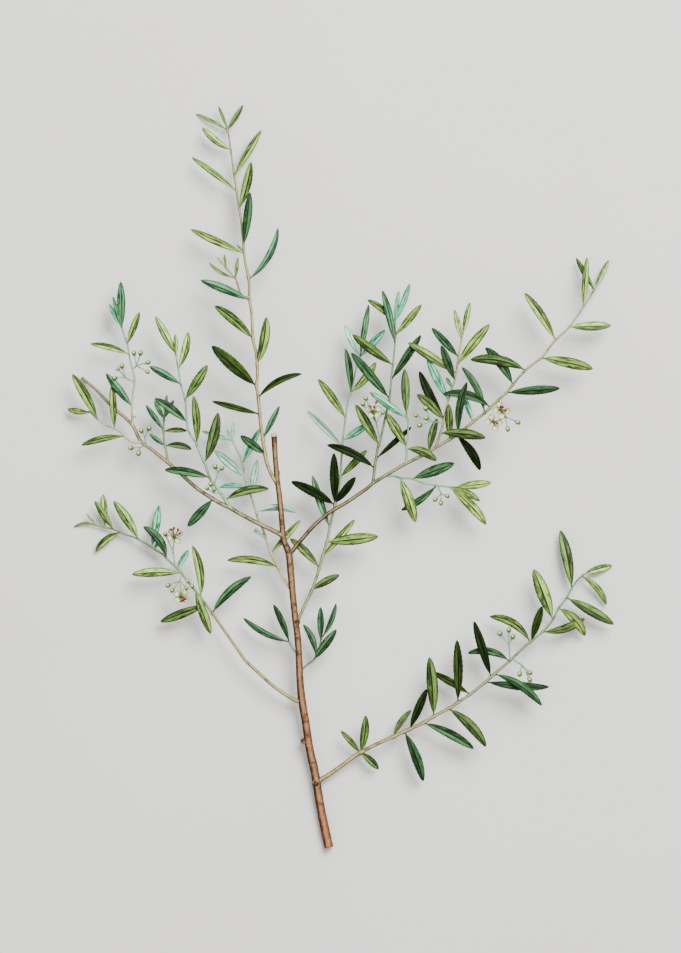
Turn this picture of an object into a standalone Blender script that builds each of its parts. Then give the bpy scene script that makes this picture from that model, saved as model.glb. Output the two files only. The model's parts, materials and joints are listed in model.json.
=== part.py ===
"""Cut branch of dahoon holly, lying flat on the plane z = 0. Metres, +Z up, tip of the branch toward +Y.

A woody stem carries side branches, leafy twigs, clusters of round buds and small four-petalled
flowers. Each branch, twig, cluster and flower is one closed solid; its leaves or buds are fused to it.
"""

import math

import bmesh
import bpy
from mathutils import Vector

MM = 0.001

# Real length from the cut base to the topmost leaf, and the same length in steps of the plant table.
BRANCH_LENGTH = 0.335
LENGTH_IN_STEPS = 744.0
STEP = BRANCH_LENGTH / LENGTH_IN_STEPS

# Middle of the plant in table steps, which lies over the origin.
MIDDLE_ACROSS = 340.45
MIDDLE_DOWN = 476.5

LEAF_THICKNESS = 0.6 * MM
LEAF_ARCH = 0.06
LEAF_FOLD = 0.12
LEAF_STATIONS = (0.0, 0.28, 0.62)
LEAF_FULLNESS = 0.85
PETIOLE_HALF_WIDTH = 0.35 * MM

# Gap between neighbouring solids.
CLEARANCE = 0.3 * MM

# Shorter edges are collapsed where pieces are fused, and nearer vertices of a tube are one.
SHORTEST_EDGE = 0.12 * MM
SAME_PLACE = 0.001 * MM

# A tube of resolution n has 4 + 2 n sides.
STEM_SIDES = 3
BRANCH_SIDES = 1
PEDICEL_SIDES = 0

STALK_RADIUS = 0.38 * MM
PEDICEL_RADIUS = 0.32 * MM
BUD_RISE = 0.6 * MM
BUD_STRETCH = 1.08
BUD_SEGMENTS = 6
BUD_RINGS = 4

FLOWER_HEART_RADIUS = 0.8 * MM
PETAL_WIDTH = 2.9 * MM
PETAL_REACH = 1.75
PETAL_CUP = 0.45
PETAL_ARCH = -0.12
FLOWER_STALK_BEND = 0.6

YOUNG = "young"
GREEN = "green"
DARK = "dark"
PALE = "pale"

# Base colour and roughness of each kind of surface.
SURFACES = {
    "bark": ((0.17, 0.085, 0.042), 0.85),
    "branch": ((0.33, 0.22, 0.11), 0.75),
    YOUNG: ((0.32, 0.34, 0.07), 0.55),
    GREEN: ((0.14, 0.19, 0.045), 0.55),
    DARK: ((0.075, 0.08, 0.022), 0.55),
    PALE: ((0.35, 0.44, 0.27), 0.6),
    "bud": ((0.42, 0.36, 0.10), 0.5),
    "petal": ((0.72, 0.62, 0.36), 0.6),
}

# Each route point is (across, down, height in mm); each leaf is
# (root across, root down, tip across, tip down, width, bow, rise in mm, tone).
SHOOTS = {
    "tall_shoot": {
        "parent": "main_stem",
        "radii": (0.85, 0.40),
        "route": [
            (277, 483, 13.6), (272, 475.5, 14.2), (266.4, 461.4, 14.8), (264.6, 450.7, 15.2),
            (261, 427, 15.8), (259.3, 409.3, 16.1), (257.9, 394.3, 16.2), (256.4, 385.7, 16.2),
            (257.5, 375, 16.0), (256.4, 354.3, 15.6), (253, 338.6, 15.1), (251.6, 314.3, 14.2),
            (249.6, 299, 13.5), (248.7, 279, 12.4), (245, 261.5, 11.4), (243.6, 246, 10.5),
            (240.8, 219, 9.0), (237.7, 200, 7.9), (235, 180.7, 6.8), (231.4, 155.7, 5.2),
            (228.6, 135.7, 3.8), (227, 128, 3.2),
        ],
        "forks": [
            [(249.2, 297, 13.4), (244.2, 297.5, 13.2), (240.4, 293, 12.9), (237.3, 283.8, 12.3),
             (234.8, 278, 11.9), (225, 267, 11.2)],
        ],
        "leaves": [
            (226.5, 130, 195.7, 113.4, 4, -0.8, -3.15, YOUNG),
            (226.4, 128, 218.2, 105.7, 3.6, 0, 0.5, YOUNG),
            (227.5, 129.3, 243, 104.3, 5, -0.5, -0.8, YOUNG),
            (230, 149.8, 202.1, 127.1, 7.5, 2, 1.0, YOUNG),
            (235.0, 175.4, 261.4, 129.8, 7.2, 0.3, -1.5, YOUNG),
            (236, 190.7, 191.4, 157, 6.2, -0.5, -2.0, YOUNG),
            (239.5, 209, 250.9, 161.8, 9.3, -1.5, 1.5, YOUNG),
            (243.6, 246, 250, 192, 9, -0.5, -1.2, DARK),
            (243.5, 253.5, 190.4, 229.2, 8, 0.5, -2.0, GREEN),
            (243.5, 252.3, 236.5, 244.6, 2.4, 0, 0.5, GREEN),
            (248.7, 279.6, 278, 227.7, 7, -6, -1.0, GREEN),
            (249.8, 300.5, 200.4, 280.4, 9, -1, 1.0, GREEN),
            (253.1, 339.3, 214.6, 306, 10, -2, -2.0, GREEN),
            (257, 364.6, 266.4, 317, 10, -2.5, 1.5, YOUNG),
            (256.5, 386.4, 211.8, 346, 13, 0, 2.0, DARK),
            (258.1, 397.9, 302, 374, 7, 5, 1.0, DARK),
            (259.8, 414.3, 212.1, 401.4, 6.5, 0, 1.5, DARK),
            (262.8, 439, 279.6, 406, 6, 0, 1.0, GREEN),
            (265, 454.3, 240.4, 435.7, 8.8, 0, 1.0, GREEN),
            (234.8, 278, 209.2, 262.7, 3.8, 2.5, -1.5, YOUNG),
            (235.4, 279, 237.9, 257.3, 4, 0, 1.0, YOUNG),
            (225, 267, 216.9, 257.3, 2.6, 0, 0.3, YOUNG),
            (226, 268, 224.2, 254.2, 2.6, 0, 0.6, YOUNG),
        ],
    },
    "left_branch": {
        "parent": "main_stem",
        "surface": "branch",
        "radii": (1.05, 0.66),
        "route": [
            (282.5, 536, 12.3), (277, 532.4, 12.5), (258.3, 523.4, 12.9), (239.1, 513.2, 13.1),
            (231.3, 508.5, 13.1), (220, 503, 13.0), (212.2, 498.4, 12.9), (198, 489, 12.6),
            (186.4, 479, 12.2), (174, 467.5, 11.7), (168.4, 463, 11.4), (159.6, 456, 11.0),
            (151.8, 449.5, 10.6), (141, 441.6, 10.0), (133.5, 427, 8.9), (126, 418.5, 8.1),
            (116.5, 410.8, 7.0), (107.2, 401.8, 5.6), (94.4, 388.6, 3.4), (81.3, 377.6, 0.5),
        ],
        "leaves": [
            (213, 499, 187.5, 526.5, 9, 0, -3.0, GREEN),
        ],
    },
    "left_twig_1": {
        "parent": "left_branch",
        "radii": (0.55, 0.36),
        "route": [
            (141, 441.6, 10.0), (135, 442.5, 10.2), (129, 440, 10.3), (124, 435.5, 10.2),
            (120, 431.5, 10.0), (114.8, 428.5, 9.6), (106, 425, 8.8), (98.5, 420, 7.8),
            (93, 415, 6.8), (88.5, 411, 5.8),
        ],
        "leaves": [
            (89.8, 412.5, 67, 409, 6.2, 0.8, -3.0, YOUNG),
            (97.5, 419, 72, 374, 9.5, -1, 1.0, YOUNG),
            (124.5, 436.5, 81, 445.5, 7, -2.2, -1.5, GREEN),
            (114.5, 428, 112, 384, 7.5, 0, 1.2, YOUNG),
        ],
    },
    "left_twig_2": {
        "parent": "left_branch",
        "radii": (0.55, 0.32),
        "route": [
            (132.7, 425.8, 8.8), (132, 418, 9.3), (131.8, 412, 9.6), (132.2, 404, 9.9),
            (133, 392, 10.1), (134.5, 383, 10.1), (134, 376, 10.1), (132.5, 369.5, 10.0),
            (129.8, 359, 9.7), (127.7, 346, 9.2), (125, 338, 8.8), (122, 328.5, 8.3),
        ],
        "leaves": [
            (122, 328.5, 120.6, 281.5, 8.5, 0, -1.0, GREEN),
            (122, 328.5, 112.8, 296.5, 4.3, 0, 1.6, GREEN),
            (122.2, 329, 109, 304, 5, 0, 0.2, GREEN),
            (127.3, 344, 139.5, 312, 7, 0, 1.5, YOUNG),
            (128.6, 354.5, 90, 344, 6.5, -2, -1.0, YOUNG),
            (132, 406.5, 106, 373.5, 8.5, 0, 2.2, GREEN),
            (131.9, 416.7, 136, 416.7, 2.2, 0, 0.3, YOUNG),
        ],
    },
    "left_twig_3": {
        "parent": "left_branch",
        "radii": (0.55, 0.34),
        "route": [
            (168, 462.7, 11.4), (166.3, 452, 11.5), (165.3, 446.5, 11.4), (164, 440, 11.2),
            (163.5, 430, 10.8), (163.8, 420, 10.3), (164, 416, 10.1),
        ],
        "leaves": [
            (163.5, 430, 145.8, 405, 5.5, 0, -1.0, GREEN),
            (163.8, 419, 154.5, 401, 5, 0, 0.3, GREEN),
            (164, 416.5, 166.8, 395, 4, 0, -1.2, GREEN),
            (163.9, 419, 173.8, 400, 4.5, 0, -1.5, GREEN),
            (165, 446, 149.8, 434, 5, 0, 1.0, YOUNG),
            (163.6, 431.5, 187, 431, 5.5, 1.3, -1.0, GREEN),
            (165.2, 446, 191.5, 449.5, 7, 2.5, -1.0, DARK),
        ],
    },
    "left_twig_4": {
        "parent": "left_branch",
        "radii": (0.70, 0.36),
        "route": [
            (231.3, 508.5, 13.1), (226, 501, 13.8), (221.7, 494.5, 14.4), (217, 487.5, 15.0),
            (213, 483, 15.4), (209.5, 477, 15.8), (206.5, 468, 16.1), (204.5, 462, 16.3),
            (198, 448, 16.4), (196.5, 443, 16.4), (193, 438.5, 16.3), (188.5, 430.5, 16.1),
            (187.2, 422, 15.9), (186.3, 412, 15.5), (185.7, 402, 15.1), (184.5, 397, 14.9),
            (181.5, 387, 14.4), (179.7, 378, 13.9), (178.5, 369, 13.4), (177.5, 365, 13.2),
            (176, 354.5, 12.6),
        ],
        "leaves": [
            (176, 354.5, 155.5, 316.5, 8, 0, -1.5, YOUNG),
            (176.2, 355.5, 175.5, 334, 5, 0, 1.5, YOUNG),
            (178.5, 368.5, 188, 332, 8.2, -2, 1.0, YOUNG),
            (185.2, 399.5, 207.5, 365, 9.5, -0.5, 0.0, YOUNG),
            (180.8, 384.5, 149.5, 366.5, 7.6, -0.6, -1.5, GREEN),
            (187.3, 422.5, 154.5, 398.5, 9, -1.5, 1.0, DARK),
            (196.7, 444, 193.5, 396, 8.5, -1.5, 1.5, YOUNG),
            (204.9, 463, 218, 412.5, 11, -2, -1.0, GREEN),
            (210, 478, 164.5, 470, 9, -2, -0.8, GREEN),
            (225.4, 500, 269, 489, 9, 4, -1.0, YOUNG),
        ],
    },
    "middle_left_shoot": {
        "parent": "main_stem",
        "radii": (0.62, 0.34),
        "route": [
            (292, 591, 9.9), (287, 584, 9.7), (278.7, 568.5, 9.6), (271, 552.7, 9.5),
            (267, 542, 9.4), (263.4, 531, 9.3), (258.3, 520, 9.2), (256.2, 512.8, 9.0),
            (250.6, 495, 8.7), (247, 484.3, 8.5), (245, 477, 8.3), (242.9, 465, 8.0),
            (240.7, 457.9, 7.8), (236.4, 449.3, 7.4), (232.5, 440.7, 7.0),
        ],
        "leaves": [
            (232.5, 440.7, 201.5, 431, 5, 0, -2.0, PALE),
            (232.3, 440.5, 226.8, 429.3, 3.5, 0, 0.8, PALE),
            (232.5, 440.9, 233.4, 421.4, 4, 0, -0.8, PALE),
            (242.5, 463.5, 260, 428, 6.5, 0, -1.0, PALE),
            (245, 476.9, 214.3, 450.4, 9, 0, -2.0, PALE),
            (250.6, 495, 257.3, 459.8, 7, 0, -1.5, PALE),
            (248.3, 488, 219.4, 487.4, 5.5, -2, -2.0, PALE),
            (256.2, 512.8, 296, 512.5, 7, 5.3, -1.0, PALE),
            (265.5, 538, 254.5, 530, 4.5, 0, 0.3, PALE),
            (271.2, 552.9, 300.5, 520, 6.5, 0, -1.5, YOUNG),
            (278, 567.5, 227, 560.5, 8.2, -4, -1.0, YOUNG),
        ],
    },
    "middle_shoot": {
        "parent": "main_stem",
        "radii": (0.75, 0.32),
        "route": [
            (295.6, 623, 9.1), (299, 618, 9.0), (304, 606.5, 9.1), (311.5, 591, 9.3),
            (316.3, 578, 9.5), (321, 561.6, 9.8), (325, 548, 10.1), (327.3, 540, 10.3),
            (329.7, 527.5, 10.6), (332.7, 514, 10.9), (334.7, 505, 11.2), (338.5, 490, 11.5),
            (340.5, 476.4, 11.5), (341, 465, 11.4), (342, 450, 11.2), (342.8, 440, 11.0),
            (344.6, 425, 10.8), (345.5, 418, 10.7), (347.8, 402, 10.4), (350.5, 393.5, 10.2),
            (353.5, 382, 9.8), (354.8, 374.4, 9.5), (356.8, 365.5, 9.1), (360, 357, 8.7),
        ],
        "leaves": [
            (311.9, 590, 339.5, 575, 8, 1, -1.0, GREEN),
            (319.2, 568, 290, 538.5, 8.5, -1.5, -1.0, GREEN),
            (322.4, 557, 355, 519.5, 7, 0, -1.2, YOUNG),
            (326.7, 542.3, 378.5, 536.5, 11.5, 0, 1.8, YOUNG),
            (329.7, 527.5, 312.3, 475.5, 8, 1, -1.2, PALE),
            (334.7, 505, 291, 481.5, 10, -1.5, 3.5, DARK),
            (334.9, 504.5, 333.8, 452.8, 9.5, 0, 4.0, DARK),
            (335.3, 503.5, 355.5, 477, 8.5, 0, 3.5, DARK),
            (340.5, 476.8, 367, 450, 7.5, 0, 0.5, YOUNG),
            (342.3, 446, 307, 410.7, 6.5, 0, -1.0, PALE),
            (342.9, 440.5, 369, 424, 7.5, 0, 0.0, PALE),
            (345.5, 418, 317.9, 378.9, 8.5, -0.8, 0.5, YOUNG),
            (350.7, 393, 345.3, 348.5, 7.2, -1.5, 1.5, GREEN),
            (351, 392.5, 376, 362, 8.4, -2, -1.2, YOUNG),
            (360, 357, 344.6, 325, 7.5, 0, -0.8, PALE),
            (360, 357, 385, 330, 7.5, 0, -0.8, PALE),
            (360, 357, 368.7, 304.5, 6.5, 0, -1.6, GREEN),
        ],
    },
    "right_branch": {
        "parent": "main_stem",
        "radii": (1.00, 0.36),
        "route": [
            (288.6, 553.5, 11.6), (291.8, 551.5, 11.8), (296, 546, 12.2), (305, 535.5, 12.7),
            (312, 527.5, 13.0), (320, 520, 13.3), (328, 513.5, 13.6), (335, 509, 13.9),
            (347.6, 501.7, 14.3), (366.7, 488.5, 14.9), (372.7, 483.4, 15.1), (389.3, 473.2, 15.6),
            (405.9, 463.6, 16.0), (421.2, 455.9, 16.3), (435.2, 447.7, 16.4), (451, 438.5, 16.3),
            (460, 432.5, 16.2), (473, 421.8, 15.9), (484.5, 413, 15.6), (497, 401, 15.1),
            (506.5, 392.6, 14.6), (512.5, 385, 14.3), (524.5, 371, 13.6), (540, 359, 12.5),
            (544, 355, 12.2), (555, 340.5, 11.0), (569.6, 326.5, 9.5), (583, 307.5, 7.4),
            (590, 297, 6.2), (594.6, 289, 5.3),
        ],
        "leaves": [
            (449.5, 439, 448.5, 404, 8, 0, 2.35, YOUNG),
            (428.7, 451.5, 437, 418.5, 8, 1, 0.0, GREEN),
            (456, 435, 480, 470.5, 9.5, 3, -4.0, DARK),
            (458.2, 433.5, 466.9, 382, 8.3, 3.2, 3.2, DARK),
            (490, 407.5, 442.5, 394.5, 9.5, -6, 3.8, DARK),
            (484.5, 413, 461.5, 367, 7.5, -4, -2.5, DARK),
            (472.7, 422, 464, 396, 5.5, 0, -2.0, PALE),
            (512.7, 384.8, 485, 347.5, 10, -3, -2.0, DARK),
            (525.3, 370.5, 470, 360, 11, -5, 1.5, GREEN),
            (506.5, 392.6, 560, 388.2, 9.5, 0, -3.0, DARK),
            (541, 358, 593.1, 368.8, 11, 1, -3.0, YOUNG),
            (555.3, 340.2, 524.2, 292.8, 9.2, -1.6, -1.0, GREEN),
            (569.2, 327, 611.4, 325.4, 9.5, 0, -3.0, GREEN),
            (583.3, 307.2, 587.2, 256.9, 7, 0, 1.0, YOUNG),
            (594.2, 289.7, 576.2, 257.6, 6, 0, -2.0, YOUNG),
            (594.6, 289, 609.2, 259.8, 5.5, 0, -5.1, YOUNG),
            (594.6, 289, 595, 282.5, 2.4, 0, -0.4, YOUNG),
        ],
    },
    "right_twig_1": {
        "parent": "right_branch",
        "radii": (0.65, 0.32),
        "route": [
            (373, 483.2, 15.1), (373.5, 478, 15.3), (374.5, 468, 15.7), (376, 458.6, 15.9),
            (378, 447, 15.9), (379.8, 442, 15.8), (382.5, 430, 15.2), (385, 418, 14.6),
            (387, 410, 14.4), (389.3, 399.9, 14.4), (391, 382, 14.7), (392, 372, 14.8),
            (393.1, 362.9, 14.8), (394.8, 343.8, 14.3), (395.8, 334, 13.8), (394.5, 321, 13.0),
        ],
        "leaves": [
            (374.5, 468.2, 326.8, 445, 9, -3.6, -0.5, DARK),
            (376, 458.6, 411.6, 426.7, 6, 0, -1.7, DARK),
            (378.7, 445, 355.5, 404.5, 9.5, 0, 0.5, YOUNG),
            (389.4, 398.5, 351, 352.5, 9.8, 0, 1.0, GREEN),
            (391.2, 380, 421, 335, 8.5, 0, 0.0, DARK),
            (393, 365, 352.5, 334.8, 9.6, 0.4, -0.5, YOUNG),
            (394.8, 343.8, 382.3, 290.5, 7.8, -1, -1.0, GREEN),
            (394.6, 322, 367.3, 300, 6.8, -2, -1.5, YOUNG),
            (395.7, 335, 421.5, 304.5, 7.5, 0, 0.5, YOUNG),
            (394.5, 321, 398.8, 291, 4.5, 0, -1.5, PALE),
            (394.6, 322, 409.6, 283.5, 6, -1, -2.4, PALE),
        ],
    },
    "right_twig_2": {
        "parent": "right_branch",
        "radii": (0.55, 0.36),
        "route": [
            (406, 463.6, 16.0), (406.3, 458, 16.3), (406.8, 447, 16.8), (407.8, 433, 17.1),
            (407.8, 421.6, 17.1), (406.3, 415.2, 17.0),
        ],
        "leaves": [
            (406.8, 447.5, 386, 413, 9.5, 0, 0.7, YOUNG),
            (407, 418.5, 369.5, 392, 8, 0, -0.3, PALE),
            (406.3, 415.2, 404.6, 369, 9, 0, -3.0, YOUNG),
            (406.8, 449, 436.5, 461, 9, 3.5, 1.4, YOUNG),
        ],
    },
    "right_twig_3": {
        "parent": "right_branch",
        "radii": (0.55, 0.32),
        "route": [
            (436, 447.2, 16.4), (438, 440, 16.9), (440.5, 433, 17.3), (443, 423, 17.6),
            (446, 410, 17.6), (448.3, 400, 17.4), (451, 391, 17.2), (454.5, 381, 17.0),
            (456.5, 370, 16.6), (457.8, 360, 16.2), (459.5, 350, 15.7), (461.2, 341, 15.2),
            (462.7, 334, 14.8),
        ],
        "leaves": [
            (443.6, 420, 416.7, 394.5, 9.5, -1.5, 0.6, YOUNG),
            (443.9, 418.5, 419.3, 371, 9.3, 2, -2.0, DARK),
            (448.3, 400.5, 427, 359, 8.5, 0, -0.8, PALE),
            (456, 373, 407.5, 342.5, 9, 0, -0.3, YOUNG),
            (454.8, 380.5, 440.9, 345.5, 8.5, 0, 0.8, DARK),
            (458.3, 357, 431.5, 328, 8, 0, 2.5, GREEN),
            (461.3, 340.5, 454.5, 310, 6, 0, -1.0, YOUNG),
            (462.6, 334.5, 469.8, 302.5, 6, 0, 1.0, YOUNG),
            (457.2, 365, 489.7, 324.3, 9.5, 1, -1.0, YOUNG),
            (452.3, 388, 446, 377.5, 4, 0, 0.5, PALE),
            (440.5, 433.2, 485.5, 438, 10.5, 2, 3.8, YOUNG),
        ],
    },
    "right_twig_4": {
        "parent": "right_branch",
        "radii": (0.50, 0.32),
        "route": [
            (385, 475.8, 15.4), (392, 475.6, 15.0), (398.5, 477.3, 14.7), (405, 478.3, 14.4),
            (412.2, 478.7, 14.1), (422.4, 482.7, 13.7), (435.2, 485.3, 13.2), (448, 486.8, 12.7),
            (455, 487.2, 12.5),
        ],
        "leaves": [
            (399.5, 477.5, 415.4, 522.3, 11, 1, -3.0, YOUNG),
            (436.5, 485.5, 400.8, 510.2, 7.2, 2.5, -4.5, GREEN),
            (455, 487.2, 491.3, 482.7, 8.5, 0, -1.0, YOUNG),
            (449, 486.9, 486.2, 524.8, 10, 2.5, -3.0, YOUNG),
            (451, 487, 479.8, 501.2, 7, 1.8, -1.0, GREEN),
            (412.2, 478.7, 454.3, 463.2, 11, 0, -1.0, GREEN),
        ],
    },
    "lower_left_branch": {
        "parent": "main_stem",
        "radii": (0.85, 0.32),
        "route": [
            (302, 701, 6.1), (297, 701, 6.1), (290, 697.5, 6.3), (280, 691, 6.6),
            (270, 683.5, 6.9), (262, 676, 7.1), (252, 667, 7.3), (245, 660, 7.5),
            (235.5, 646.5, 7.7), (220, 624.5, 8.0), (212.5, 613.5, 8.0), (200, 596.5, 7.9),
            (192, 586.5, 7.7), (187, 580.5, 7.5), (180, 571.5, 7.2), (175, 566.5, 7.0),
            (168, 560, 6.6), (162, 554, 6.2), (155, 549.5, 5.8), (148, 545, 5.3),
            (140, 540.5, 4.7), (133, 537, 4.2), (125, 534.5, 3.6), (120.5, 532.5, 3.3),
            (112, 529, 2.7), (105, 527.5, 2.3), (96, 525.5, 1.8),
        ],
        "leaves": [
            (96, 525.5, 73, 527.5, 3, -3, -1.6, YOUNG),
            (96, 525.5, 86, 514, 2.8, 0, 1.0, YOUNG),
            (104, 527.3, 102.5, 494, 6, -1, -0.8, YOUNG),
            (113, 529.4, 94.5, 501, 7, 0, 1.5, YOUNG),
            (120.5, 532.5, 95.5, 552, 7.2, -3.2, -1.5, YOUNG),
            (138.5, 539.6, 113.3, 501, 10, -1.5, 1.5, YOUNG),
            (151.5, 547.3, 158.7, 505.5, 8.4, -0.6, -2.5, PALE),
            (154, 549, 158.5, 541, 4, 0, -0.8, PALE),
            (166.5, 558.3, 143, 526.5, 9, -5, 2.0, DARK),
            (181, 573, 131.5, 574.5, 9.5, -1.5, 1.0, YOUNG),
            (200.5, 597, 192.3, 545.5, 9, -3.5, 2.0, YOUNG),
            (177, 568.5, 188.5, 550, 6, 0, -1.0, PALE),
            (195, 590, 210.8, 634, 9.5, 0, 1.8, YOUNG),
            (206, 604.5, 160, 622, 9.5, 0, -2.0, DARK),
            (212.5, 613, 251.5, 576.5, 9, 4, 1.0, DARK),
        ],
    },
    "lower_right_branch": {
        "parent": "main_stem",
        "radii": (1.00, 0.36),
        "route": [
            (316.5, 786, 3.0), (320.5, 780, 3.2), (328.6, 775, 3.6), (340, 767, 4.2),
            (354.4, 756.5, 5.0), (364.8, 750.3, 5.6), (376, 744.5, 6.2), (388.9, 738.7, 6.9),
            (409.5, 729.2, 7.8), (423.3, 722.8, 8.3), (433.7, 716.5, 8.6), (449.2, 708.2, 9.0),
            (457.8, 702.5, 9.2), (469.8, 694.5, 9.3), (483, 684.2, 9.3), (494.4, 674, 9.2),
            (509.4, 661.2, 8.9), (519.7, 651.5, 8.5), (530, 642, 8.1), (542.7, 632, 7.4),
            (551.8, 621.5, 6.7), (558.7, 608.5, 6.0), (566.8, 598, 5.3), (571.4, 589.5, 4.8),
            (577, 581, 4.2), (584, 574.5, 3.5),
        ],
        "leaves": [
            (360, 753.2, 340.7, 731, 6, -0.6, 1.0, GREEN),
            (360.5, 753, 365.6, 715.5, 8.8, -1.5, 2.0, GREEN),
            (361, 752.6, 378.5, 769.7, 7.6, 0.8, -1.5, GREEN),
            (393.2, 736.9, 411.3, 710.3, 6.4, 2, -2.0, GREEN),
            (409.5, 729.2, 426.8, 688.8, 8.7, 0, 1.0, DARK),
            (433.7, 716.5, 429.3, 656.9, 11.5, -1, 1.0, GREEN),
            (457.8, 702.5, 456.9, 639.7, 10, -0.8, -1.0, GREEN),
            (470, 694.4, 431.9, 672.1, 7.8, -0.8, -3.0, GREEN),
            (404.2, 731.7, 423.3, 781.7, 10.2, 2, -2.0, GREEN),
            (423.3, 722.8, 474, 749, 9.5, 2.4, -1.0, GREEN),
            (448.3, 708.7, 486, 747, 10.4, 4, 1.0, GREEN),
            (491, 677, 473.8, 621, 9.2, 0, 1.5, DARK),
            (509.4, 661.2, 467.5, 653.5, 8, -6, 0.5, GREEN),
            (530, 642, 489.3, 616.8, 8.8, -7, -1.0, GREEN),
            (531.2, 641, 542.1, 606.1, 8.6, 0, 1.5, GREEN),
            (552.8, 619.6, 533.5, 569.1, 13.5, -0.5, 1.5, GREEN),
            (571.9, 588.7, 560.4, 530.1, 11, -1.5, -2.0, GREEN),
            (584, 574.5, 612.7, 566.1, 7.6, 1, -3.3, GREEN),
            (582, 576.5, 606.7, 605.2, 6.8, 4, -2.0, GREEN),
            (566.8, 598, 614.1, 624.7, 10.6, 0.8, 0.5, GREEN),
            (558.7, 608.5, 585.1, 636.2, 10, 4, -1.5, GREEN),
            (542.7, 632, 585.1, 618.4, 8.8, -3.5, -3.0, DARK),
            (485.8, 682, 549.5, 687, 9, -1.5, -1.5, GREEN),
            (494.4, 674, 542, 706, 8.6, 5, 1.5, GREEN),
        ],
    },
    "left_spur": {
        "parent": "main_stem",
        "radii": (0.42, 0.32),
        "route": [
            (299, 657.5, 7.7), (296, 653, 7.9), (292, 647.5, 8.1), (289, 641.5, 8.2),
        ],
        "leaves": [
            (289.2, 642, 243.2, 618, 6.5, 3.5, -3.0, DARK),
            (289, 641.5, 273.3, 604.5, 6.8, -1.2, -1.0, DARK),
        ],
    },
    "right_spur": {
        "parent": "main_stem",
        "radii": (0.45, 0.32),
        "route": [
            (300, 672, 7.1), (303, 668.5, 7.3), (308, 664, 7.5), (313, 660.5, 7.7),
            (316.5, 655.5, 7.8), (319, 650, 7.9), (320.7, 641, 8.0), (322.5, 637, 8.1),
        ],
        "leaves": [
            (316, 656.3, 303, 624.5, 6.5, -3, 0.6, DARK),
            (320.7, 641, 320.5, 607, 7, 0, 0.0, GREEN),
            (322.5, 637, 336, 603.5, 5.5, -2, -2.0, GREEN),
            (313.3, 660, 336.5, 629.5, 8.5, 0, 1.5, GREEN),
        ],
    },
}

# Main stem: (across, down, height in mm, radius in mm).
MAIN_STEM = [
    (328.9, 848, 1.95, 2.05), (321.9, 815, 2.2, 1.95), (317.7, 791, 2.8, 1.95),
    (314.9, 773, 3.4, 1.90), (309.3, 748, 4.3, 1.85), (305.8, 724, 5.2, 1.80),
    (302.3, 703, 6.0, 1.80), (300.0, 682, 6.8, 1.65), (298.8, 655, 7.8, 1.50),
    (297.8, 640, 8.4, 1.50), (295.3, 619, 9.2, 1.50), (292.7, 595, 10.1, 1.50),
    (290.5, 569, 11.0, 1.60), (288.5, 552, 11.6, 1.60), (283.5, 539, 12.1, 1.40),
    (281.5, 518, 12.8, 1.30), (279.3, 495, 13.4, 1.25), (277, 478, 13.8, 1.25),
    (275.4, 459, 14.2, 1.20), (274, 435, 14.6, 1.35),
]

# Swellings on the main stem: (across, down, height in mm, stretch, radius in mm).
STEM_KNOBS = [
    (278.9, 473, 14.6, 1.6, 0.75),
    (304.4, 741.7, 4.9, 1.3, 1.1),
    (315.5, 784, 3.9, 0.9, 1.7),
    (297, 622, 9.4, 0.8, 1.7),
]

# Base and tip radius in mm of a fork of a shoot.
FORK_RADII = (0.45, 0.32)

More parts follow.
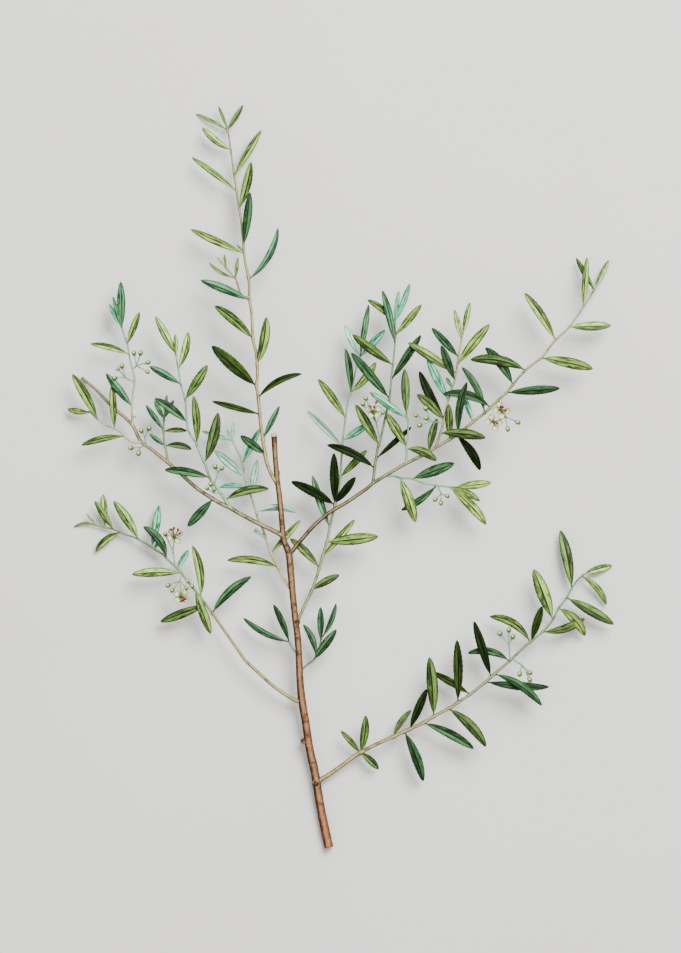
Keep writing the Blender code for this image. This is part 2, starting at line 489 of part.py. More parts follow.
# Each cluster: its stalk starts on the parent and ends in the hub (across, down, height above the
# parent in mm); each bud is (across, down, width).
CLUSTERS = {
    "left_buds_1": {
        "parent": "left_twig_2",
        "stalk": (132.5, 369.5),
        "hub": (136.5, 365.7, 0.8),
        "buds": [(134, 353, 4.8), (140.7, 353, 4.8), (148, 362.5, 4.6), (147.5, 372, 4.2)],
    },
    "left_buds_2": {
        "parent": "left_twig_2",
        "stalk": (134.4, 382.5),
        "hub": (125.3, 377.5, 2.4),
        "buds": [(122, 366, 5), (118, 369, 3.8), (115, 378, 4.5)],
    },
    "left_buds_3": {
        "parent": "left_branch",
        "stalk": (146, 445),
        "hub": (144.8, 437, 0.8),
        "buds": [(141.3, 430.7, 4.8), (149.3, 428.2, 5.0)],
    },
    "left_buds_4": {
        "parent": "left_branch",
        "stalk": (146, 446),
        "hub": (139.7, 447.3, 0.8),
        "buds": [(131, 448, 4.8), (138.7, 453.3, 5.2)],
    },
    "left_buds_5": {
        "parent": "left_twig_4",
        "stalk": (214.5, 484.5),
        "hub": (218.0, 472.5, 0.8),
        "buds": [(215.3, 466.5, 5.0), (222.3, 468.2, 4.4)],
    },
    "left_buds_6": {
        "parent": "left_twig_4",
        "stalk": (220.5, 493),
        "hub": (213.8, 493, 0.8),
        "buds": [(210.9, 484.3, 4.8), (207, 488.2, 4.4), (214.6, 489.5, 4.0)],
    },
    "lower_buds_1": {
        "parent": "lower_left_branch",
        "stalk": (175, 566.5),
        "hub": (172.8, 551.3, 0.8),
        "buds": [(165.2, 534.2, 4.6)],
    },
    "lower_buds_2": {
        "parent": "lower_left_branch",
        "stalk": (182, 574),
        "hub": (179.8, 581, 0.8),
        "buds": [(168, 585.5, 4.8), (172.2, 590.5, 4.4), (186.5, 588, 4.0)],
    },
    "right_buds_1": {
        "parent": "right_twig_1",
        "stalk": (380, 441),
        "hub": (376.2, 423, 0.8),
        "buds": [(365.7, 398.6, 4.8), (362.8, 404, 4.8), (383, 412.7, 4.0)],
    },
    "right_buds_2": {
        "parent": "right_twig_3",
        "stalk": (443, 423),
        "hub": (431, 421.5, 2.4),
        "buds": [(425.5, 408.5, 5.0), (415.7, 415.5, 4.2), (426, 418.4, 4.6), (419.5, 425.4, 4.8)],
    },
    "right_buds_3": {
        "parent": "right_branch",
        "stalk": (497, 401),
        "hub": (505.5, 417, 0.8),
        "buds": [(517.8, 422.5, 4.8), (507.5, 429.3, 4.8)],
    },
    "right_buds_4": {
        "parent": "right_twig_4",
        "stalk": (437.8, 485.7),
        "hub": (440.9, 493.6, 0.8),
        "buds": [(435.2, 499.6, 4.6), (440.9, 503.1, 4.6), (447.3, 496.1, 4.6)],
    },
    "lower_buds_3": {
        "parent": "lower_right_branch",
        "stalk": (510, 660.7),
        "hub": (508.8, 644.6, 0.8),
        "buds": [(499.8, 633.6, 5), (508.8, 629.9, 5), (513, 636.5, 5)],
    },
    "lower_buds_4": {
        "parent": "lower_right_branch",
        "stalk": (512, 658.8),
        "hub": (522, 665.2, 0.8),
        "buds": [(519.7, 674.1, 5), (529.8, 672.7, 5), (529.8, 679.6, 5)],
    },
}

# Each flower: its centre (across, down, height above the hub of its cluster in mm) and the middles of
# its four petals.
FLOWERS = {
    "lower_flower_1": {
        "cluster": "lower_buds_1",
        "centre": (174.5, 535.8, 2.6),
        "petals": [(171, 531.5), (179.5, 533.5), (170.5, 538), (177.5, 540.5)],
    },
    "lower_flower_2": {
        "cluster": "lower_buds_2",
        "centre": (181.5, 596.5, 2.6),
        "petals": [(177.5, 594), (184.5, 592.5), (178, 599.5), (185.5, 599.5)],
    },
    "right_flower_1": {
        "cluster": "right_buds_1",
        "centre": (373.5, 411.8, 2.6),
        "petals": [(371.5, 414.5), (376.5, 414.5), (378, 409), (368.5, 409)],
    },
    "right_flower_2": {
        "cluster": "right_buds_3",
        "centre": (501, 410.3, 3.4),
        "petals": [(499, 404.5), (496, 410), (507, 411), (501.5, 416)],
    },
    "right_flower_3": {
        "cluster": "right_buds_3",
        "centre": (493.8, 422.3, 2.6),
        "petals": [(491.5, 417.5), (488, 421.5), (499, 422.5), (495, 428)],
    },
}


def clear_scene():
    for thing in list(bpy.data.objects):
        bpy.data.objects.remove(thing, do_unlink=True)


def new_collection(name, hidden=False):
    collection = bpy.data.collections.new(name)
    collection.hide_render = hidden
    bpy.context.scene.collection.children.link(collection)
    return collection


def surface(kind, node):
    """Material of one node: bark, leaf, bud or petal."""
    colour, roughness = SURFACES[kind]
    material = bpy.data.materials.new(f"{node}_{kind}")
    material.use_nodes = True
    shader = material.node_tree.nodes["Principled BSDF"]
    shader.inputs["Base Color"].default_value = (*colour, 1.0)
    shader.inputs["Roughness"].default_value = roughness
    shader.inputs["Metallic"].default_value = 0.0
    return material


def at(across, down, height):
    """Point in metres of a table position whose height is in millimetres."""
    return Vector(((across - MIDDLE_ACROSS) * STEP, (MIDDLE_DOWN - down) * STEP, height * MM))


def route_points(route):
    return [at(point[0], point[1], point[2]) for point in route]


def nearest_on(routes, across, down):
    """Point on the nearest of the routes, seen from above, with the route's height there."""
    target = at(across, down, 0).xy
    best = None
    for points in routes:
        for start, end in zip(points, points[1:]):
            along = (end - start).xy
            share = (target - start.xy).dot(along) / along.length_squared
            spot = start.lerp(end, min(1.0, max(0.0, share)))
            gap = (spot.xy - target).length
            if best is None or gap < best[0]:
                best = (gap, spot)
    return best[1]


def object_from(mesh, name, collection):
    thing = bpy.data.objects.new(name, mesh)
    collection.objects.link(thing)
    return thing


def bake(thing):
    """Replace the object's mesh by its evaluated mesh and drop its modifiers."""
    bpy.context.view_layer.update()
    graph = bpy.context.evaluated_depsgraph_get()
    mesh = bpy.data.meshes.new_from_object(thing.evaluated_get(graph))
    thing.modifiers.clear()
    thing.data = mesh


def tube(name, points, radii, sides, collection):
    """Closed tapering tube along the points; radii is one value for each point."""
    curve = bpy.data.curves.new(name, "CURVE")
    curve.dimensions = "3D"
    curve.bevel_depth = 1.0
    curve.bevel_resolution = sides
    curve.use_fill_caps = True
    spline = curve.splines.new("POLY")
    spline.points.add(len(points) - 1)
    for knot, point, radius in zip(spline.points, points, radii):
        knot.co = (*point, 1.0)
        knot.radius = radius
    guide = object_from(curve, f"{name}_guide", collection)
    bpy.context.view_layer.update()
    graph = bpy.context.evaluated_depsgraph_get()
    mesh = bpy.data.meshes.new_from_object(guide.evaluated_get(graph))
    place = guide.matrix_world.copy()
    bpy.data.objects.remove(guide, do_unlink=True)
    shell = bmesh.new()
    shell.from_mesh(mesh)
    bmesh.ops.remove_doubles(shell, verts=shell.verts, dist=SAME_PLACE)
    shell.to_mesh(mesh)
    shell.free()
    made = object_from(mesh, name, collection)
    made.matrix_world = place
    return made


def even_radii(points, first, last):
    """Radii in metres that change evenly along the points, from first to last in millimetres."""
    lengths = [0.0]
    for start, end in zip(points, points[1:]):
        lengths.append(lengths[-1] + (end - start).length)
    return [(first + (last - first) * length / lengths[-1]) * MM for length in lengths]


def blade(name, root, tip, width, bow, arch, stations, collection):
    """Thin blade, narrow at its root, folded along its rib, arched upward and bowed sideways."""
    chord = tip - root
    ahead = chord.normalized()
    left = Vector((-chord.y, chord.x, 0.0)).normalized()
    up = ahead.cross(left)
    shell = bmesh.new()
    rows = []
    for share in stations:
        swell = 4.0 * share * (1.0 - share)
        middle = root + chord * share + left * bow * swell + up * arch * swell
        slope = chord + (left * bow + up * arch) * 4.0 * (1.0 - 2.0 * share)
        side = up.cross(slope).normalized()
        half = max(PETIOLE_HALF_WIDTH, 0.5 * width * math.sin(math.pi * share) ** LEAF_FULLNESS)
        lift = up * LEAF_FOLD * half
        rows.append([shell.verts.new(middle + side * half * turn + lift * abs(turn)) for turn in (-1, 0, 1)])
    end = shell.verts.new(tip)
    for near, far in zip(rows, rows[1:]):
        for index in range(2):
            shell.faces.new((near[index], near[index + 1], far[index + 1], far[index]))
    for index in range(2):
        shell.faces.new((rows[-1][index], rows[-1][index + 1], end))
    mesh = bpy.data.meshes.new(name)
    shell.to_mesh(mesh)
    shell.free()
    made = object_from(mesh, name, collection)
    thicken = made.modifiers.new("thickness", "SOLIDIFY")
    thicken.thickness = LEAF_THICKNESS
    thicken.offset = 0.0
    bake(made)
    return made


def ball(name, middle, radius, axis, stretch, collection):
    """Round body stretched along an axis."""
    shell = bmesh.new()
    bmesh.ops.create_uvsphere(shell, u_segments=BUD_SEGMENTS, v_segments=BUD_RINGS, radius=radius)
    bmesh.ops.scale(shell, vec=(1.0, 1.0, stretch), verts=shell.verts)
    turn = axis.to_track_quat("Z", "Y").to_matrix()
    bmesh.ops.rotate(shell, matrix=turn, verts=shell.verts)
    bmesh.ops.translate(shell, vec=middle, verts=shell.verts)
    mesh = bpy.data.meshes.new(name)
    shell.to_mesh(mesh)
    shell.free()
    return object_from(mesh, name, collection)


def fuse(thing, repeats):
    """Join everything in the repeats collection to the object, then empty the collection."""
    join = thing.modifiers.new("join", "BOOLEAN")
    join.operation = "UNION"
    join.operand_type = "COLLECTION"
    join.collection = repeats
    join.solver = "MANIFOLD"
    bake(thing)
    for piece in list(repeats.objects):
        bpy.data.objects.remove(piece, do_unlink=True)


def cut(thing, cutter):
    trim = thing.modifiers.new("trim", "BOOLEAN")
    trim.operation = "DIFFERENCE"
    trim.object = cutter
    trim.solver = "MANIFOLD"
    bake(thing)


def keep_main_body(thing):
    """Drop the crumbs that a cut leaves on the far side of the parent."""
    shell = bmesh.new()
    shell.from_mesh(thing.data)
    unseen = set(shell.verts)
    bodies = []
    while unseen:
        body = set()
        front = [unseen.pop()]
        while front:
            vertex = front.pop()
            body.add(vertex)
            for edge in vertex.link_edges:
                other = edge.other_vert(vertex)
                if other in unseen:
                    unseen.remove(other)
                    front.append(other)
        bodies.append(body)
    bodies.sort(key=len)
    for body in bodies[:-1]:
        bmesh.ops.delete(shell, geom=list(body), context="VERTS")
    shell.to_mesh(thing.data)
    shell.free()


def weld_slivers(thing):
    """Collapse the hair-fine edges where fused pieces meet."""
    shell = bmesh.new()
    shell.from_mesh(thing.data)
    bmesh.ops.triangulate(shell, faces=shell.faces)
    bmesh.ops.dissolve_degenerate(shell, dist=SHORTEST_EDGE, edges=shell.edges)
    bmesh.ops.triangulate(shell, faces=shell.faces)
    corners = {}
    for face in shell.faces:
        corners.setdefault(frozenset(face.verts), []).append(face)
    folded = [face for faces in corners.values() if len(faces) > 1 for face in faces]
    bmesh.ops.delete(shell, geom=folded, context="FACES_ONLY")
    fins = [face for face in shell.faces if any(edge.is_boundary for edge in face.edges)]
    bmesh.ops.delete(shell, geom=fins, context="FACES_ONLY")
    shell.to_mesh(thing.data)
    shell.free()


def finish(thing, kind):
    """Trim the object to the ground, shade it smooth and give it its material."""
    weld_slivers(thing)
    keep_main_body(thing)
    cut(thing, ground)
    for polygon in thing.data.polygons:
        polygon.use_smooth = True
    thing.data.materials.clear()
    thing.data.materials.append(surface(kind, thing.name))


def make_ground():
    """Block whose top is the plane z = 0; what rests there is trimmed to a small flat spot."""
    bpy.ops.mesh.primitive_cube_add(size=1.0, location=(0.0, 0.0, -0.5))
    block = bpy.context.object
    block.name = "ground_cutter"
    for owner in list(block.users_collection):
        owner.objects.unlink(block)
    cutters.objects.link(block)
    block.display_type = "WIRE"
    return block


def make_clearance(name, points, radii, sides):
    """Cutter that keeps the children of a branch a small gap away from it."""
    wide = tube(f"{name}_clearance", points, [radius + CLEARANCE for radius in radii], sides, cutters)
    wide.display_type = "WIRE"
    clearances[name] = wide


def make_main_stem():
    points = route_points(MAIN_STEM)
    radii = [point[3] * MM for point in MAIN_STEM]
    stem = tube("main_stem", points, radii, STEM_SIDES, holly)
    for number, (across, down, height, reach, radius) in enumerate(STEM_KNOBS):
        foot = nearest_on([points], across, down)
        middle = at(across, down, height)
        axis = (middle - foot).normalized()
        ball(f"knob_{number}", middle, radius * MM, axis, reach, repeats)
    fuse(stem, repeats)
    finish(stem, "bark")
    routes["main_stem"] = [points]
    make_clearance("main_stem", points, radii, STEM_SIDES)


def make_shoot(name, plan):
    points = route_points(plan["route"])
    radii = even_radii(points, *plan["radii"])
    shoot = tube(name, points, radii, BRANCH_SIDES, holly)
    lines = [points]
    for number, fork in enumerate(plan.get("forks", [])):
        line = route_points(fork)
        tube(f"fork_{number}", line, even_radii(line, *FORK_RADII), BRANCH_SIDES, repeats)
        lines.append(line)
    for number, leaf in enumerate(plan["leaves"]):
        across, down, tip_across, tip_down, width, bow, rise, tone = leaf
        root = nearest_on(lines, across, down)
        tip = at(tip_across, tip_down, root.z / MM + rise)
        arch = LEAF_ARCH * (tip - root).length
        blade(f"leaf_{number}", root, tip, width * STEP, bow * STEP, arch, LEAF_STATIONS, repeats)
    fuse(shoot, repeats)
    cut(shoot, clearances[plan["parent"]])
    routes[name] = lines
    make_clearance(name, points, radii, BRANCH_SIDES)
    tones = [leaf[-1] for leaf in plan["leaves"]]
    finish(shoot, plan.get("surface", max(sorted(set(tones)), key=tones.count)))


def bud_middle(hub, bud, number):
    """Middle of a bud: the buds of a cluster spread in height as they do sideways."""
    across, down, width = bud
    middle = at(across, down, 0)
    middle.z = hub.z + BUD_RISE * (1 + number % 2)
    return middle


def make_cluster(name, plan):
    root = nearest_on(routes[plan["parent"]], *plan["stalk"])
    across, down, lift = plan["hub"]
    hub = at(across, down, root.z / MM + lift)
    hubs[name] = hub
    cluster = tube(name, [root, root.lerp(hub, 0.5), hub], [STALK_RADIUS] * 3, BRANCH_SIDES, holly)
    for number, bud in enumerate(plan["buds"]):
        middle = bud_middle(hub, bud, number)
        radius = 0.5 * bud[2] * STEP
        tube(f"pedicel_{number}", [hub, middle], [PEDICEL_RADIUS] * 2, PEDICEL_SIDES, repeats)
        ball(f"bud_{number}", middle, radius, middle - hub, BUD_STRETCH, repeats)
    for number, flower in enumerate(FLOWERS.values()):
        if flower["cluster"] == name:
            foot = at(*flower["centre"][:2], 0)
            foot.z = hub.z + flower["centre"][2] * MM - FLOWER_HEART_RADIUS - CLEARANCE - PEDICEL_RADIUS
            bend = hub.lerp(foot, FLOWER_STALK_BEND)
            tube(f"flower_stalk_{number}", [hub, bend, foot], [PEDICEL_RADIUS] * 3, PEDICEL_SIDES, repeats)
    fuse(cluster, repeats)
    cut(cluster, clearances[plan["parent"]])
    finish(cluster, "bud")


def make_flower(name, plan):
    hub = hubs[plan["cluster"]]
    across, down, lift = plan["centre"]
    middle = at(across, down, hub.z / MM + lift)
    flower = ball(name, middle, FLOWER_HEART_RADIUS, Vector((0.0, 0.0, 1.0)), 1.0, holly)
    for number, petal in enumerate(plan["petals"]):
        reach = (at(*petal, 0) - at(across, down, 0)) * PETAL_REACH
        tip = middle + reach + Vector((0.0, 0.0, PETAL_CUP * reach.length))
        arch = PETAL_ARCH * reach.length
        blade(f"petal_{number}", middle, tip, PETAL_WIDTH, 0.0, arch, LEAF_STATIONS, repeats)
    fuse(flower, repeats)
    finish(flower, "petal")


clear_scene()
holly = new_collection("dahoon_holly_branch")
repeats = new_collection("repeats", hidden=True)
cutters = new_collection("cutters", hidden=True)
ground = make_ground()
clearances = {}
routes = {}
hubs = {}

make_main_stem()
for shoot_name, shoot_plan in SHOOTS.items():
    make_shoot(shoot_name, shoot_plan)
for cluster_name, cluster_plan in CLUSTERS.items():
    make_cluster(cluster_name, cluster_plan)
for flower_name, flower_plan in FLOWERS.items():
    make_flower(flower_name, flower_plan)
bpy.data.collections.remove(repeats)
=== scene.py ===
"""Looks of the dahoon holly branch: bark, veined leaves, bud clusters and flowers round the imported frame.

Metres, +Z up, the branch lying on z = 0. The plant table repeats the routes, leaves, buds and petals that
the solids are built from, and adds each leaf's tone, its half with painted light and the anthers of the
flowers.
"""

import json
import math
import random

import bpy
from mathutils import Matrix, Vector, noise

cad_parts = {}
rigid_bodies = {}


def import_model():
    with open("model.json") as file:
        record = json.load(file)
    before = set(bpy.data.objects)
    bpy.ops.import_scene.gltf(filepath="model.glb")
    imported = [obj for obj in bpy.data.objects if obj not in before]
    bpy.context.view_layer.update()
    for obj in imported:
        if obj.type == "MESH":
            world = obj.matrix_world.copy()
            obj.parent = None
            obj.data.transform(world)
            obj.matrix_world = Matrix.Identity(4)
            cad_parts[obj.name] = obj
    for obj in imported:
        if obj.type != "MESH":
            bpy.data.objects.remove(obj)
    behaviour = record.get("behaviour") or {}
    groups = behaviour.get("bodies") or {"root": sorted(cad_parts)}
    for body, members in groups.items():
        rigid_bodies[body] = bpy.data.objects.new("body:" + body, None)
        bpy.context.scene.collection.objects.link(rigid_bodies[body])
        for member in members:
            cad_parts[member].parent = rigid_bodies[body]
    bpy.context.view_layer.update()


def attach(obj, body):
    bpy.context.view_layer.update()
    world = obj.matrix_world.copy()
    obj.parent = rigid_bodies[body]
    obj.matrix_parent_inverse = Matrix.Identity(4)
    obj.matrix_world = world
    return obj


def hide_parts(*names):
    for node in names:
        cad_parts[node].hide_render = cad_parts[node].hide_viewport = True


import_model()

MM = 0.001
UP = Vector((0.0, 0.0, 1.0))

# Real length from the cut base to the topmost leaf, and the same length in steps of the plant table.
BRANCH_LENGTH = 0.335
LENGTH_IN_STEPS = 744.0
STEP = BRANCH_LENGTH / LENGTH_IN_STEPS

# Middle of the plant in table steps, which lies over the origin, and the picture's height in steps.
MIDDLE_ACROSS = 340.45
MIDDLE_DOWN = 476.5
PICTURE_HEIGHT = 953

# Leaves: rows along the blade, columns across it, and the shares of length and width that shape it.
LEAF_ROWS = 26
LEAF_COLUMNS = (-1.0, -0.8, -0.5, -0.24, 0.0, 0.24, 0.5, 0.8, 1.0)
LEAF_ARCH = 0.06
LEAF_FOLD = 0.16
FOLD_SOFTNESS = 0.01
LEAF_FULLNESS = 0.56
LEAF_BELLY = 1.08
LEAF_MARGIN_ROLL = 0.10
LEAF_ROLL = math.radians(9)
LEAF_THICKNESS = 0.34 * MM
LEAF_EDGE_THICKNESS = 0.12 * MM
THIN_TIP_FROM = 0.93
THIN_TIP = 0.55
POINT_WIDTH = 0.15

# Slow waves of the margin and what a leaf's draw shifts them by; teeth of the leaves wider than some steps.
MARGIN_WAVE = 0.03
MARGIN_WAVES = 9.0
MARGIN_SEED = 50.0
TOOTH = 0.07
TOOTHED_WIDTH = 8
TOOTHED_STRETCH = (0.45, 0.95)

# Petiole, and the share of the blade over which it widens into the blade.
PETIOLE_SHARE = 0.06
PETIOLE_BLEND = 0.10
PETIOLE_HALF_WIDTH = 0.34 * MM
PETIOLE_THICKNESS = 0.55 * MM

# Midrib, sunk on one face and raised on the other, and the side veins.
RIB_HALF_WIDTH = 0.20 * MM
RIB_GROOVE = 0.14 * MM
RIB_RIDGE = 0.22 * MM
RIB_FINISH = 0.6
VEIN_PAIRS = 11
VEIN_SLANT = 1.5
VEIN_RELIEF = 0.035 * MM

# Streaks and patches of a leaf, across half a blade and along it, and what its draw shifts them by.
FINE_STREAKS = (4.2, 6.0)
BROAD_PATCHES = (1.2, 3.4)
LEAF_SEED = 31.0

# How much lighter than the leaf its light parts, painted highlights among them, get at most, and the lightest
# channel they get.
MOST_GAIN = 2.7
BRIGHTEST = 0.95

# Where the pale crest, a painted highlight, and the dark furrow, painted shade, lie beside the rib, as shares
# of half the width.
CREST_PLACE = 0.16
FURROW_PLACE = 0.05

# The leaf that is cut short: its tip (across, down), its width at the root and how much it widens.
STUB_LEAF_TIP = (254.5, 530)
STUB_ROOT_WIDTH = 0.7
STUB_WIDENING = 0.3

# Numbers of the materials in a stem's mesh. Other meshes have a skin alone, or one for each tone.
SKIN, CUT_WOOD, KNOB = 0, 1, 2

# Stems: their sides, the collar at a twig's foot and the swelling at each leaf wider than a number of steps.
STEM_SIDES = 28
TWIG_SIDES = 14
STALK_SIDES = 8
RING_SPACING = 1.1 * MM
COLLAR = 0.45
COLLAR_REACH = 1.3 * MM
NODE_SWELL = 0.30
NODE_REACH = 0.75 * MM
NODE_LEAF_WIDTH = 3
MOST_SWOLLEN = 1.6

# Unevenness of the surface as a share of the radius, and how many lumps lie on a metre.
STEM_ROUGHNESS = 0.07
TWIG_ROUGHNESS = 0.04
STALK_ROUGHNESS = 0.02
LUMPS = 420.0
STEM_SEED = 5.3
TWIG_SEED = 0.37

# Ends of stems: the rings of a sawn face and of a dome, and the dome's height at its rings and its top.
SAWN_RINGS = (0.86, 0.55, 0.25)
DOME_RINGS = (0.80, 0.45)
DOME_HEIGHT = 0.9
DOME_TOP = 0.95

# The upper end of the main stem, cut on a slant: the width of its rim and the lean of its face.
PRUNED_FLARE = 1.10
PRUNED_SLOPE = -0.55

# Twigs whose tip is cut off.
CUT_TIPS = ("left_branch",)

# Side of the stems that faces the painted light, which sets their flanks' painted shade, and the way a bud's
# painted highlight faces.
PAINTED_LIGHT_SIDE = Vector((0.45, 0.89, 0.0))
HIGHLIGHT_WAY = Vector((-0.25, 0.35, 0.90))

# Bark of the main stem's knobs: 0 is like that of its base and 1 like that of its upper end.
KNOB_GROWN = 0.5

# A bud resting on the stem: across, down, height in mm, stretch and radius in mm.
RESTING_BUD = (278.8, 473.5, 14.6, 3.0, 0.55)

# Round swellings on the twigs: across, down and radius in mm.
SWELLINGS = {
    "left_branch": ((172.5, 466.0, 0.85),),
    "lower_left_branch": ((188.0, 581.0, 0.85), (192.0, 586.5, 0.95)),
}
SWELLING_STRETCH = 1.3

# Lenticels: count, rings free at each end, angles, radii in mm, place in radii of the stem, stretch, mesh.
LENTICELS = 90
LENTICEL_MARGIN = 4
LENTICEL_ANGLES = (0.1, 2.9)
LENTICEL_RADII = (0.14, 0.28)
LENTICEL_DEPTH = 0.97
LENTICEL_STRETCH = 1.9
LENTICEL_MESH = (8, 6)

# Stalks: radii, how much they widen at foot and head, spacing of their rings and how high they arch.
STALK_RADIUS = 0.30 * MM
PEDICEL_RADIUS = 0.24 * MM
PEDICEL_FOOT = 1.15
PEDICEL_HEAD = 1.3
PEDICEL_SPACING = 0.5 * MM
STALK_ARCH = 0.15 * MM
PEDICEL_ARCH = 0.1 * MM
FLOWER_STALK_ARCH = -0.2 * MM

# Buds. The mesh of a round body is its sides and rows.
ROUND_MESH = (16, 10)
BUD_RISE = 0.6 * MM
BUD_STRETCH = 1.18
BUD_LOBES = 0.12

# Calyx: the (radius, height) of its rings as shares of its radius, and its teeth above a height.
CALYX_SIDES = 16
CALYX_PROFILE = ((0.30, -0.10), (0.62, 0.10), (0.86, 0.42), (0.80, 0.44), (0.40, 0.16))
CALYX_TEETH_FROM = 0.3
CALYX_TOOTH = 0.16

# Radii of a flower's heart and pedicel in the solids, which place the head of its stalk.
FLOWER_HEART_RADIUS = 0.8 * MM
CAD_PEDICEL_RADIUS = 0.32 * MM

# Petals. At half its rows a petal reaches HALFWAY radii past its middle, and END radii at its last row.
PETAL_RADIUS = 1.45 * MM
PETAL_CLAW = 0.30
PETAL_RISE = 0.7
PETAL_CUP = 0.48
PETAL_THICKNESS = 0.26 * MM
PETAL_THINNING = 0.6
PETAL_ROUNDING = 1.6
PETAL_HALFWAY = 0.67
PETAL_END = 0.985
PETAL_ROWS = 14
PETAL_COLUMNS = (-1.0, -0.75, -0.4, 0.0, 0.4, 0.75, 1.0)

# The flower's ovary, its calyx and its anthers on thin filaments; ANTHER_RISE and PETAL_RISE are in mm.
OVARY_RADIUS = 0.62 * MM
OVARY_RISE = 0.35 * MM
OVARY_STRETCH = 1.2
OVARY_LOBES = 0.05
FLOWER_CALYX_DROP = 0.9
FLOWER_CALYX_WIDTH = 1.2
FILAMENT_FOOT = 0.2 * MM
FILAMENT_RADIUS = 0.09 * MM
ANTHER_RADIUS = 0.56 * MM
ANTHER_RISE = 2.3
ANTHER_STRETCH = 1.4
ANTHER_LOBES = 0.1
ANTHER_MESH = (10, 6)

# Studio: floor, camera and world, then each light's name, place in metres, size in metres and power in watts.
FLOOR_SIZE = 6.0
SENSOR = 36.0
CAMERA_DISTANCE = 6.0
BRANCH_MIDDLE_HEIGHT = 0.010
WORLD_STRENGTH = 0.68
LIGHTS = (
    ("key_light", (0.85, 1.30, 1.75), 1.5, 116.0),
    ("fill_light", (-1.2, -0.8, 1.6), 1.8, 8.0),
)

# Tones of the leaves, from the lightest green to near black, then the bluish and pale ones.
LIME = "lime"
YOUNG = "young"
OLIVE = "olive"
MOSS = "moss"
DEEP = "deep"
BLACK = "black"
FERN = "fern"
DUSK = "dusk"
JADE = "jade"
MINT = "mint"
FROST = "frost"
